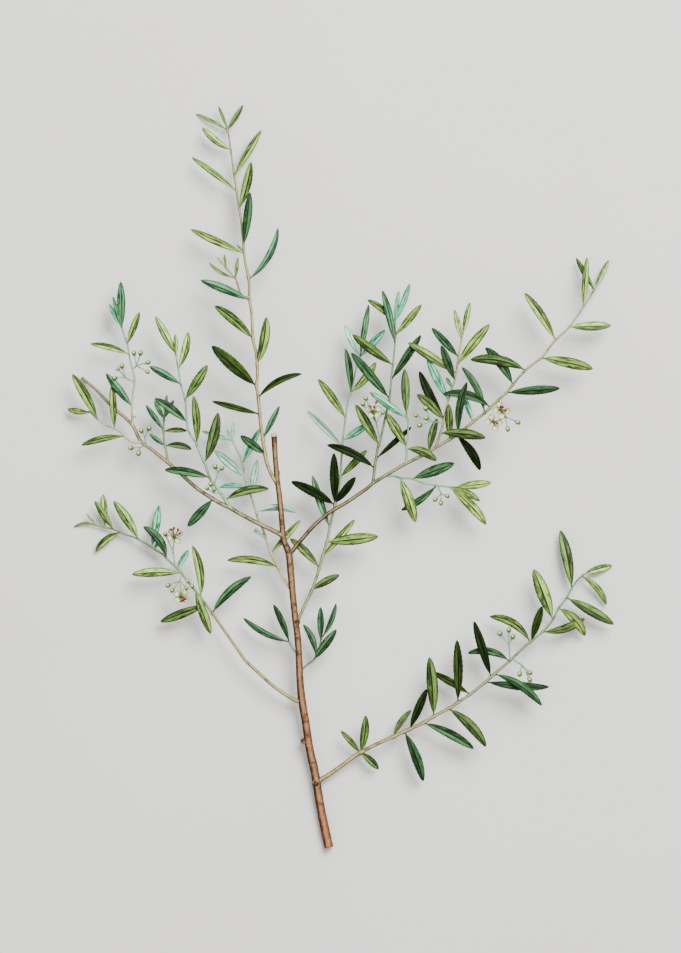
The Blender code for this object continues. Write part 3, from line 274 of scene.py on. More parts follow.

# Each route point is (across, down, height in mm); each leaf is
# (root across, root down, tip across, tip down, width, bow, rise in mm, tone, painted lit half).
# The painted lit half is 1 for the left of a leaf seen from its root, -1 for the right, 0 for neither; the
# other gets painted shade.
SHOOTS = {
    "tall_shoot": {
        "radii": (0.85, 0.40),
        "route": [
            (277, 483, 13.6), (272, 475.5, 14.2), (266.4, 461.4, 14.8), (264.6, 450.7, 15.2),
            (261, 427, 15.8), (259.3, 409.3, 16.1), (257.9, 394.3, 16.2), (256.4, 385.7, 16.2),
            (257.5, 375, 16.0), (256.4, 354.3, 15.6), (253, 338.6, 15.1), (251.6, 314.3, 14.2),
            (249.6, 299, 13.5), (248.7, 279, 12.4), (245, 261.5, 11.4), (243.6, 246, 10.5),
            (240.8, 219, 9.0), (237.7, 200, 7.9), (235, 180.7, 6.8), (231.4, 155.7, 5.2),
            (228.6, 135.7, 3.8), (227, 128, 3.2),
        ],
        "forks": [
            [(249.2, 297, 13.4), (244.2, 297.5, 13.2), (240.4, 293, 12.9), (237.3, 283.8, 12.3),
             (234.8, 278, 11.9), (225, 267, 11.2)],
        ],
        "leaves": [
            (226.5, 130, 195.7, 113.4, 4, -0.8, -3.15, LIME, 0),
            (226.4, 128, 218.2, 105.7, 3.6, 0, 0.5, YOUNG, 0),
            (227.5, 129.3, 243, 104.3, 5, -0.5, -0.8, OLIVE, 1),
            (230, 149.8, 202.1, 127.1, 7.5, 2, 1, LIME, -1),
            (235, 175.4, 261.4, 129.8, 7.2, 0.3, -1.5, YOUNG, -1),
            (236, 190.7, 191.4, 157, 6.2, -0.5, -2, LIME, 0),
            (239.5, 209, 250.9, 161.8, 9.3, -1.5, 1.5, YOUNG, 1),
            (243.6, 246, 250, 192, 9, -0.5, -1.2, FERN, -1),
            (243.5, 253.5, 190.4, 229.2, 8, 0.5, -2, YOUNG, 0),
            (243.5, 252.3, 236.5, 244.6, 2.4, 0, 0.5, JADE, 0),
            (248.7, 279.6, 278, 227.7, 7, -6, -1, JADE, 1),
            (249.8, 300.5, 200.4, 280.4, 9, -1, 1, JADE, -1),
            (253.1, 339.3, 214.6, 306, 10, -2, -2, OLIVE, 0),
            (257, 364.6, 266.4, 317, 10, -2.5, 1.5, YOUNG, -1),
            (256.5, 386.4, 211.8, 346, 13, 0, 2, DEEP, -1),
            (258.1, 397.9, 302, 374, 7, 5, 1, DEEP, -1),
            (259.8, 414.3, 212.1, 401.4, 6.5, 0, 1.5, DEEP, 0),
            (262.8, 439, 279.6, 406, 6, 0, 1, JADE, 1),
            (265, 454.3, 240.4, 435.7, 8.8, 0, 1, FERN, 0),
            (234.8, 278, 209.2, 262.7, 3.8, 2.5, -1.5, YOUNG, 0),
            (235.4, 279, 237.9, 257.3, 4, 0, 1, YOUNG, 0),
            (225, 267, 216.9, 257.3, 2.6, 0, 0.3, LIME, 0),
            (226, 268, 224.2, 254.2, 2.6, 0, 0.6, YOUNG, 0),
        ],
    },
    "left_branch": {
        "radii": (1.05, 0.66),
        "route": [
            (282.5, 536, 12.3), (277, 532.4, 12.5), (258.3, 523.4, 12.9), (239.1, 513.2, 13.1),
            (231.3, 508.5, 13.1), (220, 503, 13.0), (212.2, 498.4, 12.9), (198, 489, 12.6),
            (186.4, 479, 12.2), (174, 467.5, 11.7), (168.4, 463, 11.4), (159.6, 456, 11.0),
            (151.8, 449.5, 10.6), (141, 441.6, 10.0), (133.5, 427, 8.9), (126, 418.5, 8.1),
            (116.5, 410.8, 7.0), (107.2, 401.8, 5.6), (94.4, 388.6, 3.4), (81.3, 377.6, 0.5),
        ],
        "leaves": [
            (213, 499, 187.5, 526.5, 9, 0, -3, FERN, 0),
        ],
    },
    "left_twig_1": {
        "radii": (0.55, 0.36),
        "route": [
            (141, 441.6, 10.0), (135, 442.5, 10.2), (129, 440, 10.3), (124, 435.5, 10.2),
            (120, 431.5, 10.0), (114.8, 428.5, 9.6), (106, 425, 8.8), (98.5, 420, 7.8),
            (93, 415, 6.8), (88.5, 411, 5.8),
        ],
        "leaves": [
            (89.8, 412.5, 67, 409, 6.2, 0.8, -3, YOUNG, 0),
            (97.5, 419, 72, 374, 9.5, -1, 1, YOUNG, 1),
            (124.5, 436.5, 81, 445.5, 7, -2.2, -1.5, OLIVE, 0),
            (114.5, 428, 112, 384, 7.5, 0, 1.2, YOUNG, 1),
        ],
    },
    "left_twig_2": {
        "radii": (0.55, 0.32),
        "route": [
            (132.7, 425.8, 8.8), (132, 418, 9.3), (131.8, 412, 9.6), (132.2, 404, 9.9),
            (133, 392, 10.1), (134.5, 383, 10.1), (134, 376, 10.1), (132.5, 369.5, 10.0),
            (129.8, 359, 9.7), (127.7, 346, 9.2), (125, 338, 8.8), (122, 328.5, 8.3),
        ],
        "leaves": [
            (122, 328.5, 120.6, 281.5, 8.5, 0, -1, JADE, 0),
            (122, 328.5, 112.8, 296.5, 4.3, 0, 1.6, JADE, 0),
            (122.2, 329, 109, 304, 5, 0, 0.2, MINT, 0),
            (127.3, 344, 139.5, 312, 7, 0, 1.5, YOUNG, 1),
            (128.6, 354.5, 90, 344, 6.5, -2, -1, LIME, 1),
            (132, 406.5, 106, 373.5, 8.5, 0, 2.2, JADE, -1),
            (131.9, 416.7, 136, 416.7, 2.2, 0, 0.3, MINT, 0),
        ],
    },
    "left_twig_3": {
        "radii": (0.55, 0.34),
        "route": [
            (168, 462.7, 11.4), (166.3, 452, 11.5), (165.3, 446.5, 11.4), (164, 440, 11.2),
            (163.5, 430, 10.8), (163.8, 420, 10.3), (164, 416, 10.1),
        ],
        "leaves": [
            (163.5, 430, 145.8, 405, 5.5, 0, -1, JADE, -1),
            (163.8, 419, 154.5, 401, 5, 0, 0.3, JADE, 0),
            (164, 416.5, 166.8, 395, 4, 0, -1.2, JADE, 0),
            (163.9, 419, 173.8, 400, 4.5, 0, -1.5, FERN, 0),
            (165, 446, 149.8, 434, 5, 0, 1, JADE, -1),
            (163.6, 431.5, 187, 431, 5.5, 1.3, -1, OLIVE, -1),
            (165.2, 446, 191.5, 449.5, 7, 2.5, -1, MOSS, -1),
        ],
    },
    "left_twig_4": {
        "radii": (0.70, 0.36),
        "route": [
            (231.3, 508.5, 13.1), (226, 501, 13.8), (221.7, 494.5, 14.4), (217, 487.5, 15.0),
            (213, 483, 15.4), (209.5, 477, 15.8), (206.5, 468, 16.1), (204.5, 462, 16.3),
            (198, 448, 16.4), (196.5, 443, 16.4), (193, 438.5, 16.3), (188.5, 430.5, 16.1),
            (187.2, 422, 15.9), (186.3, 412, 15.5), (185.7, 402, 15.1), (184.5, 397, 14.9),
            (181.5, 387, 14.4), (179.7, 378, 13.9), (178.5, 369, 13.4), (177.5, 365, 13.2),
            (176, 354.5, 12.6),
        ],
        "leaves": [
            (176, 354.5, 155.5, 316.5, 8, 0, -1.5, LIME, -1),
            (176.2, 355.5, 175.5, 334, 5, 0, 1.5, LIME, -1),
            (178.5, 368.5, 188, 332, 8.2, -2, 1, LIME, 1),
            (185.2, 399.5, 207.5, 365, 9.5, -0.5, 0, OLIVE, 0),
            (180.8, 384.5, 149.5, 366.5, 7.6, -0.6, -1.5, JADE, -1),
            (187.3, 422.5, 154.5, 398.5, 9, -1.5, 1, FERN, 1),
            (196.7, 444, 193.5, 396, 8.5, -1.5, 1.5, OLIVE, 0),
            (204.9, 463, 218, 412.5, 11, -2, -1, MOSS, 0),
            (210, 478, 164.5, 470, 9, -2, -0.8, FERN, 1),
            (225.4, 500, 269, 489, 9, 4, -1, OLIVE, -1),
        ],
    },
    "middle_left_shoot": {
        "radii": (0.62, 0.34),
        "route": [
            (292, 591, 9.9), (287, 584, 9.7), (278.7, 568.5, 9.6), (271, 552.7, 9.5),
            (267, 542, 9.4), (263.4, 531, 9.3), (258.3, 520, 9.2), (256.2, 512.8, 9.0),
            (250.6, 495, 8.7), (247, 484.3, 8.5), (245, 477, 8.3), (242.9, 465, 8.0),
            (240.7, 457.9, 7.8), (236.4, 449.3, 7.4), (232.5, 440.7, 7.0),
        ],
        "leaves": [
            (232.5, 440.7, 201.5, 431, 5, 0, -2, MINT, 0),
            (232.3, 440.5, 226.8, 429.3, 3.5, 0, 0.8, FROST, 0),
            (232.5, 440.9, 233.4, 421.4, 4, 0, -0.8, FROST, 0),
            (242.5, 463.5, 260, 428, 6.5, 0, -1, MINT, -1),
            (245, 476.9, 214.3, 450.4, 9, 0, -2, FROST, 0),
            (250.6, 495, 257.3, 459.8, 7, 0, -1.5, FROST, 0),
            (248.3, 488, 219.4, 487.4, 5.5, -2, -2, MINT, 0),
            (256.2, 512.8, 296, 512.5, 7, 5.3, -1, FROST, 1),
            (265.5, 538, 254.5, 530, 4.5, 0, 0.3, FROST, 0),
            (271.2, 552.9, 300.5, 520, 6.5, 0, -1.5, YOUNG, -1),
            (278, 567.5, 227, 560.5, 8.2, -4, -1, YOUNG, 0),
        ],
    },
    "middle_shoot": {
        "radii": (0.75, 0.32),
        "route": [
            (295.6, 623, 9.1), (299, 618, 9.0), (304, 606.5, 9.1), (311.5, 591, 9.3),
            (316.3, 578, 9.5), (321, 561.6, 9.8), (325, 548, 10.1), (327.3, 540, 10.3),
            (329.7, 527.5, 10.6), (332.7, 514, 10.9), (334.7, 505, 11.2), (338.5, 490, 11.5),
            (340.5, 476.4, 11.5), (341, 465, 11.4), (342, 450, 11.2), (342.8, 440, 11.0),
            (344.6, 425, 10.8), (345.5, 418, 10.7), (347.8, 402, 10.4), (350.5, 393.5, 10.2),
            (353.5, 382, 9.8), (354.8, 374.4, 9.5), (356.8, 365.5, 9.1), (360, 357, 8.7),
        ],
        "leaves": [
            (311.9, 590, 339.5, 575, 8, 1, -1, MOSS, 1),
            (319.2, 568, 290, 538.5, 8.5, -1.5, -1, OLIVE, 0),
            (322.4, 557, 355, 519.5, 7, 0, -1.2, YOUNG, -1),
            (326.7, 542.3, 378.5, 536.5, 11.5, 0, 1.8, YOUNG, 0),
            (329.7, 527.5, 312.3, 475.5, 8, 1, -1.2, JADE, 1),
            (334.7, 505, 291, 481.5, 10, -1.5, 3.5, BLACK, 0),
            (334.9, 504.5, 333.8, 452.8, 9.5, 0, 4, BLACK, 0),
            (335.3, 503.5, 355.5, 477, 8.5, 0, 3.5, BLACK, 0),
            (340.5, 476.8, 367, 450, 7.5, 0, 0.5, OLIVE, 0),
            (342.3, 446, 307, 410.7, 6.5, 0, -1, FROST, 1),
            (342.9, 440.5, 369, 424, 7.5, 0, 0, MINT, 0),
            (345.5, 418, 317.9, 378.9, 8.5, -0.8, 0.5, YOUNG, 0),
            (350.7, 393, 345.3, 348.5, 7.2, -1.5, 1.5, FERN, 1),
            (351, 392.5, 376, 362, 8.4, -2, -1.2, LIME, 0),
            (360, 357, 344.6, 325, 7.5, 0, -0.8, FROST, 0),
            (360, 357, 385, 330, 7.5, 0, -0.8, MINT, -1),
            (360, 357, 368.7, 304.5, 6.5, 0, -1.6, JADE, 0),
        ],
    },
    "right_branch": {
        "radii": (1.00, 0.36),
        "route": [
            (288.6, 553.5, 11.6), (291.8, 551.5, 11.8), (296, 546, 12.2), (305, 535.5, 12.7),
            (312, 527.5, 13.0), (320, 520, 13.3), (328, 513.5, 13.6), (335, 509, 13.9),
            (347.6, 501.7, 14.3), (366.7, 488.5, 14.9), (372.7, 483.4, 15.1), (389.3, 473.2, 15.6),
            (405.9, 463.6, 16.0), (421.2, 455.9, 16.3), (435.2, 447.7, 16.4), (451, 438.5, 16.3),
            (460, 432.5, 16.2), (473, 421.8, 15.9), (484.5, 413, 15.6), (497, 401, 15.1),
            (506.5, 392.6, 14.6), (512.5, 385, 14.3), (524.5, 371, 13.6), (540, 359, 12.5),
            (544, 355, 12.2), (555, 340.5, 11.0), (569.6, 326.5, 9.5), (583, 307.5, 7.4),
            (590, 297, 6.2), (594.6, 289, 5.3),
        ],
        "leaves": [
            (449.5, 439, 448.5, 404, 8, 0, 2.35, OLIVE, 0),
            (428.7, 451.5, 437, 418.5, 8, 1, 0, MOSS, 1),
            (456, 435, 480, 470.5, 9.5, 3, -4, BLACK, 0),
            (458.2, 433.5, 466.9, 382, 8.3, 3.2, 3.2, DUSK, 0),
            (490, 407.5, 442.5, 394.5, 9.5, -6, 3.8, DUSK, 1),
            (484.5, 413, 461.5, 367, 7.5, -4, -2.5, FERN, -1),
            (472.7, 422, 464, 396, 5.5, 0, -2, MINT, -1),
            (512.7, 384.8, 485, 347.5, 10, -3, -2, FERN, 0),
            (525.3, 370.5, 470, 360, 11, -5, 1.5, MOSS, -1),
            (506.5, 392.6, 560, 388.2, 9.5, 0, -3, DUSK, 1),
            (541, 358, 593.1, 368.8, 11, 1, -3, YOUNG, 0),
            (555.3, 340.2, 524.2, 292.8, 9.2, -1.6, -1, YOUNG, 1),
            (569.2, 327, 611.4, 325.4, 9.5, 0, -3, LIME, 1),
            (583.3, 307.2, 587.2, 256.9, 7, 0, 1, LIME, -1),
            (594.2, 289.7, 576.2, 257.6, 6, 0, -2, OLIVE, -1),
            (594.6, 289, 609.2, 259.8, 5.5, 0, -5.1, LIME, -1),
            (594.6, 289, 595, 282.5, 2.4, 0, -0.4, FROST, 0),
        ],
    },
    "right_twig_1": {
        "radii": (0.65, 0.32),
        "route": [
            (373, 483.2, 15.1), (373.5, 478, 15.3), (374.5, 468, 15.7), (376, 458.6, 15.9),
            (378, 447, 15.9), (379.8, 442, 15.8), (382.5, 430, 15.2), (385, 418, 14.6),
            (387, 410, 14.4), (389.3, 399.9, 14.4), (391, 382, 14.7), (392, 372, 14.8),
            (393.1, 362.9, 14.8), (394.8, 343.8, 14.3), (395.8, 334, 13.8), (394.5, 321, 13.0),
        ],
        "leaves": [
            (374.5, 468.2, 326.8, 445, 9, -3.6, -0.5, BLACK, 0),
            (376, 458.6, 411.6, 426.7, 6, 0, -1.7, BLACK, 0),
            (378.7, 445, 355.5, 404.5, 9.5, 0, 0.5, OLIVE, 1),
            (389.4, 398.5, 351, 352.5, 9.8, 0, 1, FERN, 0),
            (391.2, 380, 421, 335, 8.5, 0, 0, DUSK, 1),
            (393, 365, 352.5, 334.8, 9.6, 0.4, -0.5, OLIVE, -1),
            (394.8, 343.8, 382.3, 290.5, 7.8, -1, -1, JADE, 0),
            (394.6, 322, 367.3, 300, 6.8, -2, -1.5, OLIVE, 0),
            (395.7, 335, 421.5, 304.5, 7.5, 0, 0.5, YOUNG, 0),
            (394.5, 321, 398.8, 291, 4.5, 0, -1.5, MINT, 0),
            (394.6, 322, 409.6, 283.5, 6, -1, -2.4, MINT, 0),
        ],
    },
    "right_twig_2": {
        "radii": (0.55, 0.36),
        "route": [
            (406, 463.6, 16.0), (406.3, 458, 16.3), (406.8, 447, 16.8), (407.8, 433, 17.1),
            (407.8, 421.6, 17.1), (406.3, 415.2, 17.0),
        ],
        "leaves": [
            (406.8, 447.5, 386, 413, 9.5, 0, 0.7, YOUNG, 0),
            (407, 418.5, 369.5, 392, 8, 0, -0.3, MINT, -1),
            (406.3, 415.2, 404.6, 369, 9, 0, -3, OLIVE, -1),
            (406.8, 449, 436.5, 461, 9, 3.5, 1.4, OLIVE, 1),
        ],
    },
    "right_twig_3": {
        "radii": (0.55, 0.32),
        "route": [
            (436, 447.2, 16.4), (438, 440, 16.9), (440.5, 433, 17.3), (443, 423, 17.6),
            (446, 410, 17.6), (448.3, 400, 17.4), (451, 391, 17.2), (454.5, 381, 17.0),
            (456.5, 370, 16.6), (457.8, 360, 16.2), (459.5, 350, 15.7), (461.2, 341, 15.2),
            (462.7, 334, 14.8),
        ],
        "leaves": [
            (443.6, 420, 416.7, 394.5, 9.5, -1.5, 0.6, MOSS, 0),
            (443.9, 418.5, 419.3, 371, 9.3, 2, -2.0, BLACK, 0),
            (448.3, 400.5, 427, 359, 8.5, 0, -0.8, MINT, 0),
            (456, 373, 407.5, 342.5, 9, 0, -0.3, YOUNG, -1),
            (454.8, 380.5, 440.9, 345.5, 8.5, 0, 0.8, DUSK, 0),
            (458.3, 357, 431.5, 328, 8, 0, 2.5, FERN, 0),
            (461.3, 340.5, 454.5, 310, 6, 0, -1, LIME, 0),
            (462.6, 334.5, 469.8, 302.5, 6, 0, 1, LIME, -1),
            (457.2, 365, 489.7, 324.3, 9.5, 1, -1, YOUNG, 0),
            (452.3, 388, 446, 377.5, 4, 0, 0.5, JADE, 0),
            (440.5, 433.2, 485.5, 438, 10.5, 2, 3.8, MOSS, 1),
        ],
    },
    "right_twig_4": {
        "radii": (0.50, 0.32),
        "route": [
            (385, 475.8, 15.4), (392, 475.6, 15.0), (398.5, 477.3, 14.7), (405, 478.3, 14.4),
            (412.2, 478.7, 14.1), (422.4, 482.7, 13.7), (435.2, 485.3, 13.2), (448, 486.8, 12.7),
            (455, 487.2, 12.5),
        ],
        "leaves": [
            (399.5, 477.5, 415.4, 522.3, 11, 1, -3, LIME, 0),
            (436.5, 485.5, 400.8, 510.2, 7.2, 2.5, -4.5, FERN, 0),
            (455, 487.2, 491.3, 482.7, 8.5, 0, -1, LIME, 0),
            (449, 486.9, 486.2, 524.8, 10, 2.5, -3, LIME, 0),
            (451, 487, 479.8, 501.2, 7, 1.8, -1, YOUNG, 0),
            (412.2, 478.7, 454.3, 463.2, 11, 0, -1, FERN, 0),
        ],
    },
    "lower_left_branch": {
        "radii": (0.85, 0.32),
        "route": [
            (302, 701, 6.1), (297, 701, 6.1), (290, 697.5, 6.3), (280, 691, 6.6),
            (270, 683.5, 6.9), (262, 676, 7.1), (252, 667, 7.3), (245, 660, 7.5),
            (235.5, 646.5, 7.7), (220, 624.5, 8.0), (212.5, 613.5, 8.0), (200, 596.5, 7.9),
            (192, 586.5, 7.7), (187, 580.5, 7.5), (180, 571.5, 7.2), (175, 566.5, 7.0),
            (168, 560, 6.6), (162, 554, 6.2), (155, 549.5, 5.8), (148, 545, 5.3),
            (140, 540.5, 4.7), (133, 537, 4.2), (125, 534.5, 3.6), (120.5, 532.5, 3.3),
            (112, 529, 2.7), (105, 527.5, 2.3), (96, 525.5, 1.8),
        ],
        "leaves": [
            (96, 525.5, 73, 527.5, 3, -3, -1.6, YOUNG, 0),
            (96, 525.5, 86, 514, 2.8, 0, 1, LIME, 0),
            (104, 527.3, 102.5, 494, 6, -1, -0.8, LIME, 1),
            (113, 529.4, 94.5, 501, 7, 0, 1.5, YOUNG, -1),
            (120.5, 532.5, 95.5, 552, 7.2, -3.2, -1.5, YOUNG, 1),
            (138.5, 539.6, 113.3, 501, 10, -1.5, 1.5, LIME, -1),
            (151.5, 547.3, 158.7, 505.5, 8.4, -0.6, -2.5, MINT, 0),
            (154, 549, 158.5, 541, 4, 0, -0.8, MINT, 0),
            (166.5, 558.3, 143, 526.5, 9, -5, 2, FERN, -1),
            (181, 573, 131.5, 574.5, 9.5, -1.5, 1, LIME, -1),
            (200.5, 597, 192.3, 545.5, 9, -3.5, 2, LIME, 1),
            (177, 568.5, 188.5, 550, 6, 0, -1, MINT, -1),
            (195, 590, 210.8, 634, 9.5, 0, 1.8, YOUNG, 1),
            (206, 604.5, 160, 622, 9.5, 0, -2, MOSS, 0),
            (212.5, 613, 251.5, 576.5, 9, 4, 1, FERN, 1),
        ],
    },
    "lower_right_branch": {
        "radii": (1.00, 0.36),
        "route": [
            (316.5, 786, 3.0), (320.5, 780, 3.2), (328.6, 775, 3.6), (340, 767, 4.2),
            (354.4, 756.5, 5.0), (364.8, 750.3, 5.6), (376, 744.5, 6.2), (388.9, 738.7, 6.9),
            (409.5, 729.2, 7.8), (423.3, 722.8, 8.3), (433.7, 716.5, 8.6), (449.2, 708.2, 9.0),
            (457.8, 702.5, 9.2), (469.8, 694.5, 9.3), (483, 684.2, 9.3), (494.4, 674, 9.2),
            (509.4, 661.2, 8.9), (519.7, 651.5, 8.5), (530, 642, 8.1), (542.7, 632, 7.4),
            (551.8, 621.5, 6.7), (558.7, 608.5, 6.0), (566.8, 598, 5.3), (571.4, 589.5, 4.8),
            (577, 581, 4.2), (584, 574.5, 3.5),
        ],
        "leaves": [
            (360, 753.2, 340.7, 731, 6, -0.6, 1, OLIVE, 0),
            (360.5, 753, 365.6, 715.5, 8.8, -1.5, 2, OLIVE, 0),
            (361, 752.6, 378.5, 769.7, 7.6, 0.8, -1.5, MOSS, -1),
            (393.2, 736.9, 411.3, 710.3, 6.4, 2, -2, MOSS, 0),
            (409.5, 729.2, 426.8, 688.8, 8.7, 0, 1, BLACK, 1),
            (433.7, 716.5, 429.3, 656.9, 11.5, -1, 1, OLIVE, -1),
            (457.8, 702.5, 456.9, 639.7, 10, -0.8, -1, DEEP, 0),
            (470, 694.4, 431.9, 672.1, 7.8, -0.8, -3, DEEP, 0),
            (404.2, 731.7, 423.3, 781.7, 10.2, 2, -2, DUSK, 1),
            (423.3, 722.8, 474, 749, 9.5, 2.4, -1, FERN, -1),
            (448.3, 708.7, 486, 747, 10.4, 4, 1, MOSS, 1),
            (491, 677, 473.8, 621, 9.2, 0, 1.5, BLACK, 0),
            (509.4, 661.2, 467.5, 653.5, 8, -6, 0.5, FERN, 0),
            (530, 642, 489.3, 616.8, 8.8, -7, -1, OLIVE, 0),
            (531.2, 641, 542.1, 606.1, 8.6, 0, 1.5, DEEP, 0),
            (552.8, 619.6, 533.5, 569.1, 13.5, -0.5, 1.5, LIME, -1),
            (571.9, 588.7, 560.4, 530.1, 11, -1.5, -2, OLIVE, 1),
            (584, 574.5, 612.7, 566.1, 7.6, 1, -3.3, LIME, -1),
            (582, 576.5, 606.7, 605.2, 6.8, 4, -2, YOUNG, 0),
            (566.8, 598, 614.1, 624.7, 10.6, 0.8, 0.5, OLIVE, 1),
            (558.7, 608.5, 585.1, 636.2, 10, 4, -1.5, YOUNG, 0),
            (542.7, 632, 585.1, 618.4, 8.8, -3.5, -3, MOSS, 0),
            (485.8, 682, 549.5, 687, 9, -1.5, -1.5, DUSK, 0),
            (494.4, 674, 542, 706, 8.6, 5, 1.5, FERN, 1),
        ],
    },
    "left_spur": {
        "radii": (0.42, 0.32),
        "route": [
            (299, 657.5, 7.7), (296, 653, 7.9), (292, 647.5, 8.1), (289, 641.5, 8.2),
        ],
        "leaves": [
            (289.2, 642, 243.2, 618, 6.5, 3.5, -3, FERN, -1),
            (289, 641.5, 273.3, 604.5, 6.8, -1.2, -1, DUSK, -1),
        ],
    },
    "right_spur": {
        "radii": (0.45, 0.32),
        "route": [
            (300, 672, 7.1), (303, 668.5, 7.3), (308, 664, 7.5), (313, 660.5, 7.7),
            (316.5, 655.5, 7.8), (319, 650, 7.9), (320.7, 641, 8.0), (322.5, 637, 8.1),
        ],
        "leaves": [
            (316, 656.3, 303, 624.5, 6.5, -3, 0.6, FERN, -1),
            (320.7, 641, 320.5, 607, 7, 0, 0, FERN, 1),
            (322.5, 637, 336, 603.5, 5.5, -2, -2, FERN, -1),
            (313.3, 660, 336.5, 629.5, 8.5, 0, 1.5, FERN, 1),
        ],
    },
}

# Main stem: (across, down, height in mm, radius in mm).
MAIN_STEM = [
    (328.9, 848, 1.95, 2.05), (321.9, 815, 2.2, 1.95), (317.7, 791, 2.8, 1.95),
    (314.9, 773, 3.4, 1.90), (309.3, 748, 4.3, 1.85), (305.8, 724, 5.2, 1.80),
    (302.3, 703, 6.0, 1.80), (300.0, 682, 6.8, 1.65), (298.8, 655, 7.8, 1.50),
    (297.8, 640, 8.4, 1.50), (295.3, 619, 9.2, 1.50), (292.7, 595, 10.1, 1.50),
    (290.5, 569, 11.0, 1.60), (288.5, 552, 11.6, 1.60), (283.5, 539, 12.1, 1.40),
    (281.5, 518, 12.8, 1.30), (279.3, 495, 13.4, 1.25), (277, 478, 13.8, 1.25),
    (275.4, 459, 14.2, 1.20), (274, 435, 14.6, 1.35),
]

# Swellings on the main stem: (across, down, height in mm, stretch, radius in mm).
STEM_KNOBS = [
    (304.0, 741.4, 4.9, 1.2, 1.4),
    (315.5, 784, 3.9, 0.9, 1.7),
    (297, 622, 9.4, 0.8, 1.7),
]

# Base and tip radius in mm of a fork of a shoot.
FORK_RADII = (0.45, 0.32)

# Each cluster: its stalk starts on the parent and ends in the hub (across, down, height above the
# parent in mm); each bud is (across, down, width).
CLUSTERS = {
    "left_buds_1": {
        "parent": "left_twig_2",
        "stalk": (132.5, 369.5),
        "hub": (136.5, 365.7, 0.8),
        "buds": [(134, 353, 4.8), (140.7, 353, 4.8), (148, 362.5, 4.6), (147.5, 372, 4.2)],
    },
    "left_buds_2": {
        "parent": "left_twig_2",
        "stalk": (134.4, 382.5),
        "hub": (125.3, 377.5, 2.4),
        "buds": [(122, 366, 5), (118, 369, 3.8), (115, 378, 4.5)],
    },
    "left_buds_3": {
        "parent": "left_branch",
        "stalk": (146, 445),
        "hub": (144.8, 437, 0.8),
        "buds": [(141.3, 430.7, 4.8), (149.3, 428.2, 5.0)],
    },
    "left_buds_4": {
        "parent": "left_branch",
        "stalk": (146, 446),
        "hub": (139.7, 447.3, 0.8),
        "buds": [(131, 448, 4.8), (138.7, 453.3, 5.2)],
    },
    "left_buds_5": {
        "parent": "left_twig_4",
        "stalk": (214.5, 484.5),
        "hub": (218.0, 472.5, 0.8),
        "buds": [(215.3, 466.5, 5.0), (222.3, 468.2, 4.4)],
    },
    "left_buds_6": {
        "parent": "left_twig_4",
        "stalk": (220.5, 493),
        "hub": (213.8, 493, 0.8),
        "buds": [(210.9, 484.3, 4.8), (207, 488.2, 4.4), (214.6, 489.5, 4.0)],
    },
    "lower_buds_1": {
        "parent": "lower_left_branch",
        "stalk": (175, 566.5),
        "hub": (172.8, 551.3, 0.8),
        "buds": [(165.2, 534.2, 4.6)],
    },
    "lower_buds_2": {
        "parent": "lower_left_branch",
        "stalk": (182, 574),
        "hub": (179.8, 581, 0.8),
        "buds": [(168, 585.5, 4.8), (172.2, 590.5, 4.4), (186.5, 588, 4.0)],
    },
    "right_buds_1": {
        "parent": "right_twig_1",
        "stalk": (380, 441),
        "hub": (376.2, 423, 0.8),
        "buds": [(365.7, 398.6, 4.8), (362.8, 404, 4.8), (383, 412.7, 4.0)],
    },
    "right_buds_2": {
        "parent": "right_twig_3",
        "stalk": (443, 423),
        "hub": (431, 421.5, 2.4),
        "buds": [(425.5, 408.5, 5.0), (415.7, 415.5, 4.2), (426, 418.4, 4.6), (419.5, 425.4, 4.8)],
    },
    "right_buds_3": {
        "parent": "right_branch",
        "stalk": (497, 401),
        "hub": (505.5, 417, 0.8),
        "buds": [(517.8, 422.5, 4.8), (507.5, 429.3, 4.8)],
    },
    "right_buds_4": {
        "parent": "right_twig_4",
        "stalk": (437.8, 485.7),
        "hub": (440.9, 493.6, 0.8),
        "buds": [(435.2, 499.6, 4.6), (440.9, 503.1, 4.6), (447.3, 496.1, 4.6)],
    },
    "lower_buds_3": {
        "parent": "lower_right_branch",
        "stalk": (510, 660.7),
        "hub": (508.8, 644.6, 0.8),
        "buds": [(499.8, 633.6, 5), (508.8, 629.9, 5), (513, 636.5, 5)],
    },
    "lower_buds_4": {
        "parent": "lower_right_branch",
        "stalk": (512, 658.8),
        "hub": (522, 665.2, 0.8),
        "buds": [(519.7, 674.1, 5), (529.8, 672.7, 5), (529.8, 679.6, 5)],
    },
}

# Each flower: its centre (across, down, height above the hub of its cluster in mm), the middles of
# its four petals and its anthers.
FLOWERS = {
    "lower_flower_1": {
        "cluster": "lower_buds_1",
        "centre": (174.5, 535.8, 2.6),
        "petals": [(171, 531.5), (179.5, 533.5), (170.5, 538), (177.5, 540.5)],
        "anthers": [(171, 529.5), (174, 528), (178, 529.5), (180, 533.5)],
    },
    "lower_flower_2": {
        "cluster": "lower_buds_2",
        "centre": (181.5, 596.5, 2.6),
        "petals": [(177.5, 594), (184.5, 592.5), (178, 599.5), (185.5, 599.5)],
        "anthers": [(181.5, 601), (185.5, 599), (183.5, 600)],
    },
    "right_flower_1": {
        "cluster": "right_buds_1",
        "centre": (373.5, 411.8, 2.6),
        "petals": [(371.5, 414.5), (376.5, 414.5), (378, 409), (368.5, 409)],
        "anthers": [(370, 406.5), (374, 407), (376, 402.5)],
    },
    "right_flower_2": {
        "cluster": "right_buds_3",
        "centre": (501, 410.3, 3.4),
        "petals": [(499, 404.5), (496, 410), (507, 411), (501.5, 416)],
        "anthers": [(500.5, 406.8), (502.5, 407.3), (505.5, 410.5)],
    },
    "right_flower_3": {
        "cluster": "right_buds_3",
        "centre": (493.8, 422.3, 2.6),
        "petals": [(491.5, 417.5), (488, 421.5), (499, 422.5), (495, 428)],
        "anthers": [(493, 421.5), (497, 423.5)],
    },
}

